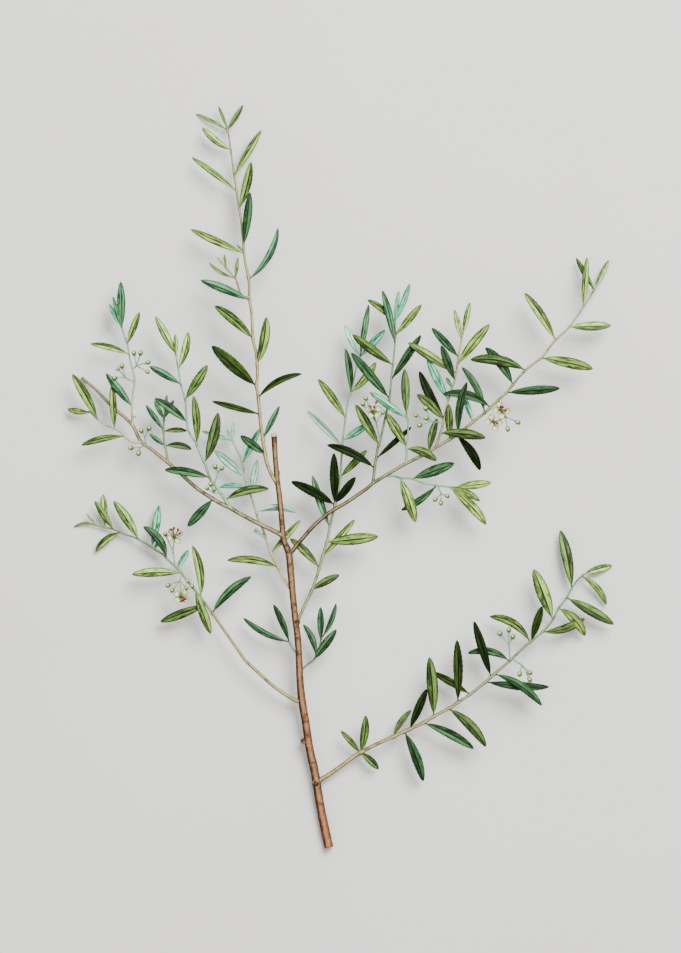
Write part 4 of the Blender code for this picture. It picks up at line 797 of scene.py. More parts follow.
# Colours as the eye sees them, 0 to 255. Leaf tones, those of undersides and those of the darkest leaves:
LEAF_COLOURS = {
    LIME: (130, 165, 80),
    YOUNG: (105, 135, 60),
    OLIVE: (75, 105, 42),
    MOSS: (65, 90, 40),
    DEEP: (32, 50, 12),
    BLACK: (15, 30, 4),
    FERN: (44, 84, 48),
    DUSK: (34, 60, 34),
    JADE: (65, 116, 78),
    MINT: (98, 194, 155),
    FROST: (186, 250, 230),
}
UNDERSIDES = (JADE, MINT, FROST)
DARK_TONES = (BLACK, DEEP, DUSK)

# Bark tones.
BROWN = (140, 85, 55)
FAWN = (120, 96, 60)
UMBER = (80, 52, 28)
SAND = (185, 164, 98)
KHAKI = (145, 137, 94)
STRAW = (205, 220, 138)
WHEAT = (228, 200, 116)
SAGE = (146, 163, 96)
MOSSY = (90, 130, 60)
GREEN = (80, 148, 98)
SEAGREEN = (102, 170, 130)
CELADON = (138, 212, 158)
SEAFOAM = (82, 200, 158)

# Marks on the bark; the dark one and the creams also serve as painted shade at the flanks and a painted
# highlight on top.
DARK_BARK = (32, 26, 11)
CREAM_BARK = (234, 214, 168)
CREAM_STEM = (232, 184, 142)
RED_FLUSH = (200, 92, 56)
CREAM_RIM = (214, 184, 128)
LENTICEL = (196, 170, 132)

# Bark tones at the base and the tip of each stem, and the share of its length where the tip's tone is full.
STEM_COLOURS = {
    "main_stem": (BROWN, FAWN),
    "tall_shoot": (SAND, SAGE),
    "left_branch": (KHAKI, KHAKI),
    "left_twig_1": (STRAW, CELADON),
    "left_twig_2": (STRAW, SEAFOAM),
    "left_twig_3": (KHAKI, SEAGREEN),
    "left_twig_4": (CELADON, SEAFOAM),
    "middle_left_shoot": (WHEAT, CELADON),
    "middle_shoot": (SAGE, SEAGREEN),
    "right_branch": (UMBER, SAGE, 0.5),
    "right_twig_1": (MOSSY, GREEN),
    "right_twig_2": (CELADON, SEAFOAM),
    "right_twig_3": (SAGE, SAGE),
    "right_twig_4": (SEAFOAM, SEAFOAM),
    "lower_left_branch": (SAND, GREEN),
    "lower_right_branch": (SAND, GREEN),
    "left_spur": (KHAKI, GREEN),
    "right_spur": (MOSSY, MOSSY),
}

def seen(red, green, blue):
    """Linear colour of a colour as the eye sees it."""
    linear = []
    for value in (red, green, blue):
        share = value / 255
        linear.append(share / 12.92 if share <= 0.04045 else ((share + 0.055) / 1.055) ** 2.4)
    return (*linear, 1.0)


def scaled(colour, factor, shift=(1.0, 1.0, 1.0)):
    """Linear colour made lighter or darker by a factor, with a shift of its red, green and blue."""
    return (*(min(1.0, channel * factor * turn) for channel, turn in zip(colour[:3], shift)), 1.0)


def at(across, down, height):
    """Point in metres of a table position whose height is in millimetres."""
    return Vector(((across - MIDDLE_ACROSS) * STEP, (MIDDLE_DOWN - down) * STEP, height * MM))


def route_points(route):
    return [at(point[0], point[1], point[2]) for point in route]


def nearest_on(lines, across, down):
    """Point on the nearest of the lines, seen from above, with the line's height there."""
    target = at(across, down, 0).xy
    best = None
    for points in lines:
        for start, end in zip(points, points[1:]):
            along = (end - start).xy
            share = (target - start.xy).dot(along) / along.length_squared
            spot = start.lerp(end, min(1.0, max(0.0, share)))
            gap = (spot.xy - target).length
            if best is None or gap < best[0]:
                best = (gap, spot)
    return best[1]


def smooth_line(points, values, spacing):
    """Points and values on a smooth curve through the given points, about one spacing apart."""
    places, numbers = [], []
    count = len(points)
    for index in range(count - 1):
        a = points[max(0, index - 1)]
        b, c = points[index], points[index + 1]
        d = points[min(count - 1, index + 2)]
        pieces = max(1, round((c - b).length / spacing))
        for piece in range(pieces):
            t = piece / pieces
            pull = (c - a) * t + (2 * a - 5 * b + 4 * c - d) * t ** 2 + (3 * b - 3 * c + d - a) * t ** 3
            places.append(b + pull * 0.5)
            numbers.append(values[index] + (values[index + 1] - values[index]) * t)
    places.append(points[-1])
    numbers.append(values[-1])
    return places, numbers


def lengths_along(points):
    """Length from the first point to each point."""
    lengths = [0.0]
    for start, end in zip(points, points[1:]):
        lengths.append(lengths[-1] + (end - start).length)
    return lengths


def length_at(points, lengths, spot):
    """Length along the points of the place nearest to the spot."""
    best = min(range(len(points)), key=lambda index: (points[index] - spot).length)
    return lengths[best]


def square_to(ahead):
    """Two directions square to the way ahead and to each other."""
    side = ahead.orthogonal().normalized()
    return side, ahead.cross(side)


class Shape:
    """Collects points with named facts and faces with a material number, then becomes an object.

    The facts of a leaf's point are its share along and across the blade, the leaf's draw and its half with
    painted light. Those of a stem's are its length along, its angle, how far it faces the painted light and
    its share of growth.
    """

    FACTS = ("along", "across", "tint", "lit")

    def __init__(self):
        self.points = []
        self.faces = []
        self.kinds = []
        self.facts = {name: [] for name in self.FACTS}

    def point(self, place, along=0.0, across=0.0, tint=0.0, lit=0.0):
        self.points.append((place.x, place.y, max(0.0, place.z)))
        for name, value in zip(self.FACTS, (along, across, tint, lit)):
            self.facts[name].append(value)
        return len(self.points) - 1

    def face(self, corners, kind=SKIN):
        self.faces.append(tuple(corners))
        self.kinds.append(kind)

    def skin(self, rings, kind=SKIN):
        """Faces between neighbouring closed rings of equal count."""
        for near, far in zip(rings, rings[1:]):
            count = len(near)
            for index in range(count):
                after = (index + 1) % count
                self.face((near[index], near[after], far[after], far[index]), kind)

    def fan(self, ring, centre, kind=SKIN):
        """Faces from a closed ring to a point."""
        for index, number in enumerate(ring):
            self.face((number, ring[(index + 1) % len(ring)], centre), kind)

    def closed(self, rings, kind=SKIN):
        """Skin over the rings with one face over each end."""
        self.skin(rings, kind)
        self.face(rings[0][::-1], kind)
        self.face(rings[-1], kind)

    def make(self, name, materials):
        """Object of the collected shape, which rides on the frame's one body."""
        mesh = bpy.data.meshes.new(name)
        mesh.from_pydata(self.points, [], self.faces)
        mesh.polygons.foreach_set("material_index", self.kinds)
        mesh.polygons.foreach_set("use_smooth", [True] * len(self.faces))
        for fact, values in self.facts.items():
            mesh.attributes.new(fact, "FLOAT", "POINT").data.foreach_set("value", values)
        for material in materials:
            mesh.materials.append(material)
        mesh.update()
        piece = bpy.data.objects.new(name, mesh)
        bpy.context.scene.collection.objects.link(piece)
        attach(piece, "root")
        return piece


class Nodes:
    """Short way to write a procedural material, whose body colour gets one coat after another."""

    def __init__(self, name, roughness, specular):
        self.material = bpy.data.materials.new(name)
        self.material.use_nodes = True
        self.tree = self.material.node_tree
        self.shader = self.tree.nodes["Principled BSDF"]
        self.shader.inputs["Roughness"].default_value = roughness
        self.shader.inputs["Specular IOR Level"].default_value = specular
        self.body = None

    def feed(self, sockets, values):
        for socket, value in zip(sockets, values):
            if isinstance(value, bpy.types.NodeSocket):
                self.tree.links.new(value, socket)
            else:
                socket.default_value = value

    def math(self, operation, *values):
        node = self.tree.nodes.new("ShaderNodeMath")
        node.operation = operation
        self.feed(node.inputs, values)
        return node.outputs[0]

    def times(self, first, second):
        return self.math("MULTIPLY", first, second)

    def size(self, value):
        return self.math("ABSOLUTE", value)

    def fact(self, name):
        node = self.tree.nodes.new("ShaderNodeAttribute")
        node.attribute_name = name
        return node.outputs["Fac"]

    def place(self):
        return self.tree.nodes.new("ShaderNodeNewGeometry").outputs["Position"]

    def ramp(self, value, low, high, first=0.0, last=1.0):
        """Smooth change from first to last while value goes from low to high."""
        node = self.tree.nodes.new("ShaderNodeMapRange")
        node.interpolation_type = "SMOOTHSTEP"
        self.feed(node.inputs, (value, low, high, first, last))
        return node.outputs["Result"]

    def vector(self, *values):
        node = self.tree.nodes.new("ShaderNodeCombineXYZ")
        self.feed(node.inputs, values)
        return node.outputs[0]

    def noise(self, vector, scale, detail=3.0, roughness=0.55):
        node = self.tree.nodes.new("ShaderNodeTexNoise")
        sockets = [node.inputs[name] for name in ("Vector", "Scale", "Detail", "Roughness")]
        self.feed(sockets, (vector, scale, detail, roughness))
        return node.outputs["Fac"]

    def mix(self, share, first, second, blend="MIX"):
        node = self.tree.nodes.new("ShaderNodeMix")
        node.data_type = "RGBA"
        node.blend_type = blend
        self.feed([node.inputs[name] for name in ("Factor", "A", "B")], (share, first, second))
        return node.outputs["Result"]

    def coat(self, share, colour):
        """Lay a colour on the body as far as the share says."""
        self.body = self.mix(share, self.body, colour)

    def done(self, height, strength, distance):
        """Give the body's colour and a bump to the shader, and hand over the material."""
        node = self.tree.nodes.new("ShaderNodeBump")
        sockets = [node.inputs[name] for name in ("Strength", "Distance", "Height")]
        self.feed(sockets, (strength, distance, height))
        self.tree.links.new(node.outputs["Normal"], self.shader.inputs["Normal"])
        self.tree.links.new(self.body, self.shader.inputs["Base Color"])
        return self.material


def leaf_noises(nodes, along, across, tint):
    """Fine streaks that slant like the side veins, and broad patches; each leaf's draw moves both."""
    seed = nodes.times(tint, LEAF_SEED)
    slant = nodes.math("SUBTRACT", along, nodes.times(nodes.size(across), VEIN_SLANT / VEIN_PAIRS))
    wide, long = FINE_STREAKS
    fine = nodes.vector(nodes.math("MULTIPLY_ADD", across, wide, seed), nodes.times(slant, long), tint)
    wide, long = BROAD_PATCHES
    broad = nodes.vector(nodes.math("MULTIPLY_ADD", across, wide, seed), nodes.times(along, long), seed)
    return nodes.noise(fine, 1.0, 2.0, 0.6), nodes.noise(broad, 1.0, 2.0)


def leaf_material(tone):
    """Blade with a dark line of painted shade and a pale line of painted highlight along its rib, a painted
    lit and a painted shaded half, streaks and margins.
    """
    base = seen(*LEAF_COLOURS[tone])
    under, dark, frost = tone in UNDERSIDES, tone in DARK_TONES, tone == FROST
    nodes = Nodes(f"leaf_{tone}", 0.60 if under else 0.48, 0.06 if dark else 0.16)
    along, across = nodes.fact("along"), nodes.fact("across")
    tint, lit = nodes.fact("tint"), nodes.fact("lit")
    out = nodes.size(across)
    fine, broad = leaf_noises(nodes, along, across, tint)
    gain = min(MOST_GAIN, BRIGHTEST / max(base[:3]))
    # light is the colour of the painted lit half, the painted highlights and the light streaks; shade is that
    # of the painted shaded half and the dark streaks.
    light = scaled(base, 3.2, (0.86, 1.0, 1.2)) if dark else scaled(base, gain, (1.0, 0.97, 1.0))
    shade = scaled(base, 0.16, (1.4, 0.9, 0.5)) if dark else scaled(base, 0.11, (0.9, 1.0, 0.6))

    # Broad patches, then the painted lit half and the painted shaded half on either side of the rib.
    low = scaled(base, 0.34 if frost else 0.26, (0.80, 1.0, 0.74))
    high = scaled(base, min(1.4, gain), (1.24, 1.0, 0.78))
    nodes.body = nodes.mix(nodes.ramp(broad, 0.40, 0.62), low, high)
    turned = nodes.times(across, nodes.ramp(lit, -0.6, -0.4, -1.0, 1.0))
    side = nodes.times(nodes.size(lit), nodes.ramp(turned, -CREST_PLACE, CREST_PLACE, -1.0, 1.0))
    nodes.coat(nodes.ramp(side, 0.0, 1.0, 0.0, 0.50), light)
    nodes.coat(nodes.ramp(side, -1.0, 0.0, 0.80, 0.0), shade)
    if dark:
        nodes.coat(nodes.ramp(out, 0.15, 0.70, 0.45, 0.0), scaled(base, 1.3, (1.9, 0.9, 0.5)))

    # A painted highlight band between rib and margin, strongest on the painted lit half, and light and dark
    # streaks.
    band = nodes.times(nodes.ramp(out, 0.10, 0.30), nodes.ramp(out, 0.40, 0.76, 1.0, 0.0))
    band = nodes.times(band, nodes.ramp(broad, 0.36, 0.60, 0.35, 1.0))
    nodes.coat(nodes.times(band, nodes.ramp(side, -1.0, 1.0, 0.15, 0.40 if dark else 0.66)), light)
    nodes.coat(nodes.ramp(fine, 0.50, 0.68, 0.0, 0.50), light)
    nodes.coat(nodes.ramp(fine, 0.36, 0.52, 0.40 if frost else 0.78, 0.0), shade)

    # Margins darkened with painted shade, on the dark leaves lightened instead, then tip and foot.
    edge = scaled(base, 0.20, (0.5, 1.0, 0.95)) if under else scaled(base, 0.14, (1.0, 1.0, 0.6))
    nodes.coat(nodes.ramp(out, 0.60, 0.96, 0.0, 0.45 if dark else 0.92), light if dark else edge)
    nodes.coat(nodes.ramp(along, 0.80, 0.98, 0.0, 0.65), scaled(base, 0.25, (1.2, 1.0, 0.6)))
    nodes.coat(nodes.ramp(along, 0.20, 0.05, 0.0, 0.50), scaled(base, 0.4, (1.15, 1.0, 0.7)))

    # The pale crest beside the rib, a painted highlight, and the dark furrow along it, painted shade, which
    # fade out toward the tip.
    fade = nodes.ramp(along, 0.95, 0.80)
    crest = nodes.ramp(nodes.size(nodes.math("SUBTRACT", turned, CREST_PLACE)), 0.04, 0.13, 0.75, 0.0)
    nodes.coat(nodes.times(crest, fade), scaled(base, min(3.4, gain), (1.0, 1.0, 1.1)))
    furrow = nodes.ramp(nodes.size(nodes.math("ADD", turned, FURROW_PLACE)), 0.09, 0.20, 0.96, 0.0)
    furrow = nodes.times(furrow, nodes.ramp(fine, 0.30, 0.45, 0.55, 1.0))
    deep = scaled(base, 0.16, (0.6, 1.0, 0.9)) if under else scaled(base, 0.07, (1.3, 1.0, 0.6))
    nodes.coat(nodes.times(furrow, fade), deep)

    # Each leaf's draw makes it a little darker or lighter than the next.
    shift = nodes.mix(tint, (0.86, 0.90, 0.86, 1.0), (1.14, 1.08, 1.0, 1.0))
    nodes.body = nodes.mix(1.0, nodes.body, shift, "MULTIPLY")
    grain = nodes.noise(nodes.place(), 2600.0, 2.0)
    return nodes.done(nodes.math("MULTIPLY_ADD", fine, 0.8, grain), 0.35, 0.06 * MM)


def bark_material(name, first, last, turn=0.95, highlight_and_streak=0.40, fine=0.6, rim=0.0, pale=CREAM_BARK):
    """Bark from the first tone to the last, streaked and blotched, with a painted highlight on top and
    painted shade below.

    Its flank toward the painted light gets a greenish painted shade, the other one a dark painted shade. With
    a rim, its foot is flushed red and the pale wood of its cut shows past that share of its growth.
    """
    base, tip = seen(*first), seen(*last)
    nodes = Nodes(f"bark_{name}", 0.72, 0.08)
    along, around = nodes.fact("along"), nodes.fact("across")
    toward_light, grown = nodes.fact("tint"), nodes.fact("lit")
    top, beside = nodes.math("SINE", around), nodes.math("COSINE", around)
    nodes.body = nodes.mix(nodes.ramp(grown, 0.05, turn), base, tip)

    # Broad blotches, which the tints below are mixed from.
    blotch = nodes.noise(nodes.place(), 90.0, 2.0)
    nodes.coat(nodes.ramp(blotch, 0.52, 0.66, 0.0, 0.55), scaled(base, 0.75, (1.05, 0.80, 0.60)))
    nodes.coat(nodes.ramp(blotch, 0.34, 0.48, 0.60, 0.0), scaled(base, 0.55, (0.82, 1.0, 0.80)))
    brown = nodes.mix(0.86, nodes.body, seen(*DARK_BARK))
    cream = nodes.mix(0.52, nodes.body, seen(*pale))
    green_flank_shade = nodes.mix(0.66, nodes.body, scaled(tip, 0.42, (0.95, 1.05, 0.90)))

    # Streaks along the stem, and the painted highlight along its top.
    sheet = nodes.vector(nodes.times(top, fine), nodes.times(beside, fine), nodes.times(along, 160.0))
    streak = nodes.noise(sheet, 1.7, 4.0, 0.65)
    nodes.coat(nodes.ramp(streak, 0.36, 0.54, 0.75, 0.0), brown)
    nodes.coat(nodes.ramp(streak, 0.54, 0.68, 0.0, highlight_and_streak), cream)
    nodes.coat(nodes.ramp(top, 0.86, 0.99, 0.0, highlight_and_streak), cream)

    # Greenish painted shade on the flank toward the light, dark patches, dark painted shade on the other
    # flank, toward both edges and below, then cream flecks.
    flank = nodes.ramp(top, 0.76, 0.98, 1.0, 0.0)
    lit_flank = nodes.times(flank, nodes.ramp(toward_light, -0.06, 0.06))
    nodes.coat(nodes.times(lit_flank, 0.75), green_flank_shade)
    patch = nodes.noise(nodes.place(), 330.0, 3.0)
    nodes.coat(nodes.ramp(patch, 0.52, 0.66, 0.0, 0.75 if rim else 0.60), brown)
    shaded = nodes.times(flank, nodes.ramp(toward_light, -0.06, 0.06, 1.0, 0.0))
    nodes.coat(nodes.times(shaded, 0.88), brown)
    nodes.coat(nodes.ramp(top, 0.40, 0.84, 0.92, 0.0), brown)
    fleck = nodes.noise(nodes.place(), 1500.0, 1.0)
    nodes.coat(nodes.ramp(fleck, 0.62, 0.72, 0.0, 0.35), cream)
    if rim:
        flush = nodes.times(nodes.ramp(grown, 0.14, 0.02), nodes.ramp(patch, 0.36, 0.50, 0.42, 0.0))
        nodes.coat(nodes.times(flush, nodes.ramp(top, 0.50, 0.90)), seen(*RED_FLUSH))
        nodes.coat(nodes.ramp(grown, rim - 0.024, rim - 0.008, 0.0, 0.75), brown)
        nodes.coat(nodes.ramp(grown, rim, 1.0, 0.0, 0.85), seen(*CREAM_RIM))
    return nodes.done(nodes.math("MULTIPLY_ADD", streak, 0.7, nodes.times(fleck, 0.4)), 0.6, 0.2 * MM)


def wood_material():
    """Cut wood with growth rings."""
    nodes = Nodes("cut_wood", 0.75, 0.25)
    ring = nodes.math("SINE", nodes.times(nodes.fact("lit"), 26.0))
    grain = nodes.noise(nodes.place(), 1800.0, 4.0)
    nodes.body = nodes.mix(nodes.ramp(ring, -0.4, 0.9), seen(186, 150, 106), seen(224, 198, 156))
    nodes.coat(nodes.ramp(grain, 0.45, 0.7, 0.0, 0.5), seen(140, 104, 70))
    return nodes.done(grain, 0.4, 0.1 * MM)


def stalk_material():
    """Green of stalks and calyces, lighter in patches."""
    nodes = Nodes("green_stalk", 0.55, 0.25)
    shade = nodes.noise(nodes.place(), 900.0)
    nodes.body = nodes.mix(nodes.ramp(shade, 0.3, 0.7), seen(70, 112, 84), seen(134, 176, 146))
    return nodes.done(shade, 0.25, 0.05 * MM)


def bud_material():
    """Folded petals, olive, with a cream painted highlight on the side toward the light and painted shade in
    the dark seams between them.
    """
    nodes = Nodes("bud_petals", 0.45, 0.30)
    along, around = nodes.fact("along"), nodes.fact("across")
    shade = nodes.noise(nodes.place(), 1400.0)
    nodes.body = nodes.mix(nodes.ramp(along, 0.12, 0.60), seen(26, 42, 10), seen(88, 112, 34))
    nodes.coat(nodes.ramp(shade, 0.50, 0.70, 0.0, 0.6), seen(62, 74, 22))
    # Cream painted highlight on the side facing the light.
    nodes.coat(nodes.ramp(nodes.fact("lit"), 0.68, 0.97, 0.0, 0.85), seen(222, 238, 122))
    # Dark seams: painted shade in the grooves between the folded petals.
    seam = nodes.size(nodes.math("SINE", nodes.times(around, 2.0)))
    seam = nodes.times(nodes.ramp(seam, 0.0, 0.30, 1.0, 0.0), nodes.ramp(along, 0.45, 0.75))
    nodes.coat(nodes.times(seam, 0.75), seen(84, 76, 26))
    nodes.coat(nodes.ramp(along, 0.86, 1.0, 0.0, 0.8), seen(88, 70, 26))
    return nodes.done(nodes.math("ADD", seam, shade), 0.3, 0.08 * MM)


def petal_material():
    """Cream petal, dark green at its claw, with painted shade along its rim and yellow patches."""
    nodes = Nodes("flower_petals", 0.5, 0.25)
    along, across = nodes.fact("along"), nodes.fact("across")
    shade = nodes.vector(nodes.times(across, 2.0), nodes.times(along, 2.0), nodes.fact("tint"))
    shade = nodes.noise(shade, 2.4)
    nodes.body = nodes.mix(nodes.ramp(along, 0.25, 0.66), seen(44, 66, 14), seen(246, 255, 182))
    nodes.coat(nodes.ramp(shade, 0.46, 0.62, 0.0, 0.80), seen(168, 158, 74))
    # Painted shade along the sides and the far edge of the petal.
    beside = nodes.ramp(nodes.size(across), 0.56, 0.94, 0.0, 0.85)
    end = nodes.ramp(along, 0.82, 0.97, 0.0, 0.85)
    nodes.coat(nodes.math("MAXIMUM", beside, end), seen(34, 46, 8))
    return nodes.done(shade, 0.25, 0.05 * MM)


def heart_material():
    """Dark green of an ovary and its calyx, lighter toward the top."""
    nodes = Nodes("flower_heart", 0.45, 0.35)
    shade = nodes.noise(nodes.place(), 2200.0)
    nodes.body = nodes.mix(nodes.ramp(nodes.fact("along"), 0.2, 0.9), seen(22, 50, 18), seen(66, 122, 52))
    nodes.coat(nodes.ramp(shade, 0.5, 0.75, 0.0, 0.6), seen(28, 56, 22))
    return nodes.done(shade, 0.3, 0.05 * MM)


def anther_material():
    """Red anthers with near black patches."""
    nodes = Nodes("flower_anthers", 0.55, 0.3)
    shade = nodes.noise(nodes.place(), 2400.0, 2.0)
    nodes.body = nodes.mix(nodes.ramp(shade, 0.40, 0.60), seen(26, 1, 1), seen(168, 10, 4))
    return nodes.done(shade, 0.3, 0.04 * MM)


def floor_material():
    """Plain pale floor."""
    nodes = Nodes("studio_floor", 0.9, 0.2)
    shade = nodes.noise(nodes.place(), 4.0, 2.0)
    body = nodes.mix(nodes.ramp(shade, 0.3, 0.7), seen(226, 225, 221), seen(230, 229, 226))
    nodes.tree.links.new(body, nodes.shader.inputs["Base Color"])
    return nodes.material


def blade_half_width(row, blade_share, width, tint, blunt):
    """Half the width of a leaf at a row: full in the middle and wavy, toothed on the wider leaves."""
    share = row / LEAF_ROWS
    half = 0.5 * width * math.sin(math.pi * min(1.0, blade_share ** LEAF_BELLY)) ** LEAF_FULLNESS
    if blunt:
        half = 0.5 * width * (STUB_ROOT_WIDTH + STUB_WIDENING * share)
    half *= 1.0 + MARGIN_WAVE * noise.noise(Vector((share * MARGIN_WAVES, tint * MARGIN_SEED, 0.0)))
    if width > TOOTHED_WIDTH * STEP and TOOTHED_STRETCH[0] < share < TOOTHED_STRETCH[1]:
        half *= 1.0 + TOOTH * (row % 2 - 0.5)
    return max(half, PETIOLE_HALF_WIDTH * (1.0 if share < 0.5 else POINT_WIDTH))


def add_leaf(shape, root, tip, width, bow, tone_number, tint, lit, underside, blunt):
    """Veined blade on a petiole: arched, bowed sideways, folded along its rib, thin at its edges."""
    chord = tip - root
    ahead = chord.normalized()
    left = Vector((-chord.y, chord.x, 0.0)).normalized()
    up = ahead.cross(left)
    bend = left * bow + up * LEAF_ARCH * chord.length
    roll = Matrix.Rotation((tint * 2 - 1) * LEAF_ROLL, 3, ahead)
    raised, sunk = (RIB_RIDGE, RIB_GROOVE) if underside else (-RIB_GROOVE, RIB_RIDGE)
    rings = []
    for row in range(LEAF_ROWS + 1):
        share = row / LEAF_ROWS
        blade_share = max(0.0, share - PETIOLE_SHARE) / (1.0 - PETIOLE_SHARE)
        stalk = max(0.0, 1.0 - blade_share / PETIOLE_BLEND)
        half = blade_half_width(row, blade_share, width, tint, blunt)
        thick = LEAF_THICKNESS + (PETIOLE_THICKNESS - LEAF_THICKNESS) * stalk
        thick *= 1.0 if share < THIN_TIP_FROM else THIN_TIP
        middle = root + chord * share + bend * 4.0 * share * (1.0 - share)
        slope = chord + bend * 4.0 * (1.0 - 2.0 * share)
        side = roll @ up.cross(slope).normalized()
        rise = side.cross(slope.normalized())
        if rise.z < 0.0:
            rise = -rise
        upper, lower = [], []
        for column in LEAF_COLUMNS:
            out = abs(column)
            near_rib = RIB_FINISH * math.exp(-((column * half / RIB_HALF_WIDTH) ** 2)) * (1.0 - stalk)
            sheet = LEAF_FOLD * half * math.sqrt(column ** 2 + FOLD_SOFTNESS)
            sheet -= LEAF_MARGIN_ROLL * half * out ** 5
            wave = math.cos(2 * math.pi * (VEIN_PAIRS * share - VEIN_SLANT * out))
            sheet -= VEIN_RELIEF * wave * (1.0 - out) * (1.0 - stalk)
            skin = 0.5 * (thick + (LEAF_EDGE_THICKNESS - thick) * out ** 3 * (1.0 - stalk))
            place = middle + side * half * column
            facts = (share, column, tint, lit)
            if out < 1.0:
                lower.append(shape.point(place + rise * (sheet - skin - sunk * near_rib), *facts))
            upper.append(shape.point(place + rise * (sheet + skin + raised * near_rib), *facts))
        rings.append(upper + lower[::-1])
    shape.closed(rings, tone_number)


def add_tube(shape, points, radii, sides, cut=False, seed=0.0, rough=TWIG_ROUGHNESS, lean=0.0):
    """Tapering tube with a slightly uneven surface; its ends are rounded or sawn, the last one on a slant."""
    lengths = lengths_along(points)
    total = lengths[-1]
    final = len(points) - 1
    side = None
    rings = []
    for index, (point, radius) in enumerate(zip(points, radii)):
        ahead = (points[min(final, index + 1)] - points[max(0, index - 1)]).normalized()
        if side is None:
            side = ahead.cross(UP).normalized()
        side = (side - ahead * side.dot(ahead)).normalized()
        top = side.cross(ahead)
        if top.z < 0.0:
            top = -top
        ring = []
        for number in range(sides):
            angle = 2 * math.pi * number / sides - math.pi / 2
            way = side * math.cos(angle) + top * math.sin(angle)
            spot = point + way * radius
            lump = noise.noise(spot * LUMPS + Vector((seed, 0.0, 0.0)))
            spot += way * radius * rough * lump
            if index == final:
                spot += ahead * lean * radius * math.sin(angle)
            # The third fact is how far the point faces the painted light, which the bark's painted shade
            # reads.
            ring.append(shape.point(spot, lengths[index], angle, way.dot(PAINTED_LIGHT_SIDE), lengths[index] / total))
        rings.append(ring)
    shape.skin(rings)
    close_end(shape, rings[0], points[0], points[0] - points[1], radii[0], cut, 0.0, 0.0)
    close_end(shape, rings[-1], points[-1], points[-1] - points[-2], radii[-1], cut, total, 1.0)


def close_end(shape, ring, point, outward, radius, cut, along, grown):
    """Dome over a ring, or a sawn face with rings of wood; grown is 0 at a tube's foot and 1 at its tip."""
    outward = outward.normalized()
    inner = ring
    for step in SAWN_RINGS if cut else DOME_RINGS:
        rise = 0.0 if cut else math.sqrt(1.0 - step ** 2) * DOME_HEIGHT
        following = []
        for number in ring:
            spot = point + (Vector(shape.points[number]) - point) * step + outward * radius * rise
            angle = shape.facts["across"][number]
            following.append(shape.point(spot, along, angle, 0.0, step if cut else grown))
        kind = CUT_WOOD if cut and inner is not ring else SKIN
        shape.skin([inner, following] if grown else [following, inner], kind)
        inner = following
    top = point + outward * radius * (0.0 if cut else DOME_TOP)
    centre = shape.point(top, along, 0.0, 0.0, 0.0 if cut else grown)
    shape.fan(inner if grown else inner[::-1], centre, CUT_WOOD if cut else SKIN)


def add_egg(shape, middle, radius, axis, stretch, lobes=0.0, kind=SKIN, grown=None, mesh=ROUND_MESH):
    """Round body with shallow lobes; its fact "lit" is how far a point faces the painted highlight's way, or
    the value grown.
    """
    sides, rows = mesh
    ahead = axis.normalized()
    side, top = square_to(ahead)

    def spot_on(spot, share, turn):
        lit = (spot - middle).normalized().dot(HIGHLIGHT_WAY) if grown is None else grown
        return shape.point(spot, share, turn, 0.0, lit)

    foot = spot_on(middle - ahead * radius * stretch, 0.0, 0.0)
    rings = []
    for row in range(1, rows):
        angle = math.pi * row / rows
        share = row / rows
        ring = []
        for number in range(sides):
            turn = 2 * math.pi * number / sides
            groove = 1.0 - lobes * share * (1.0 - abs(math.sin(2 * turn)))
            reach = radius * math.sin(angle) * groove
            spot = middle - ahead * radius * stretch * math.cos(angle)
            spot = spot + (side * math.cos(turn) + top * math.sin(turn)) * reach
            ring.append(spot_on(spot, share, turn))
        rings.append(ring)
    crown = spot_on(middle + ahead * radius * stretch * (1.0 - 0.5 * lobes), 1.0, 0.0)
    shape.skin(rings, kind)
    shape.fan(rings[0][::-1], foot, kind)
    shape.fan(rings[-1], crown, kind)


def swollen(lengths, radii, marks):
    """Radii widened at the collar where a twig leaves its parent, and a little at each leaf."""
    result = []
    for length, radius in zip(lengths, radii):
        factor = 1.0 + COLLAR * math.exp(-length / COLLAR_REACH)
        for mark in marks:
            factor += NODE_SWELL * math.exp(-(((length - mark) / NODE_REACH) ** 2))
        result.append(radius * min(factor, MOST_SWOLLEN))
    return result


def add_swellings(shape, name, points):
    """Round swellings of a twig, each along the twig at its place."""
    for across, down, radius in SWELLINGS.get(name, ()):
        spot = nearest_on([points], across, down)
        index = min(range(1, len(points) - 1), key=lambda place: (points[place] - spot).length)
        axis = points[index + 1] - points[index - 1]
        add_egg(shape, spot, radius * MM, axis, SWELLING_STRETCH, kind=KNOB)


def make_bark(name, plan, lines):
    """Bark of a shoot and its forks."""
    shape = Shape()
    roots = [nearest_on(lines, leaf[0], leaf[1]) for leaf in plan["leaves"] if leaf[4] > NODE_LEAF_WIDTH]
    for number, line in enumerate(lines):
        first, last = FORK_RADII if number else plan["radii"]
        spans = lengths_along(line)
        even = [(first + (last - first) * span / spans[-1]) * MM for span in spans]
        points, radii = smooth_line(line, even, RING_SPACING)
        lengths = lengths_along(points)
        radii = swollen(lengths, radii, [length_at(points, lengths, root) for root in roots])
        cut = name in CUT_TIPS and number == 0
        add_tube(shape, points, radii, TWIG_SIDES, cut, len(name) * TWIG_SEED + number)
        if number == 0:
            add_swellings(shape, name, points)
    return shape.make(f"{name}_bark", [bark_material(name, *STEM_COLOURS[name]), wood, bud_skin])


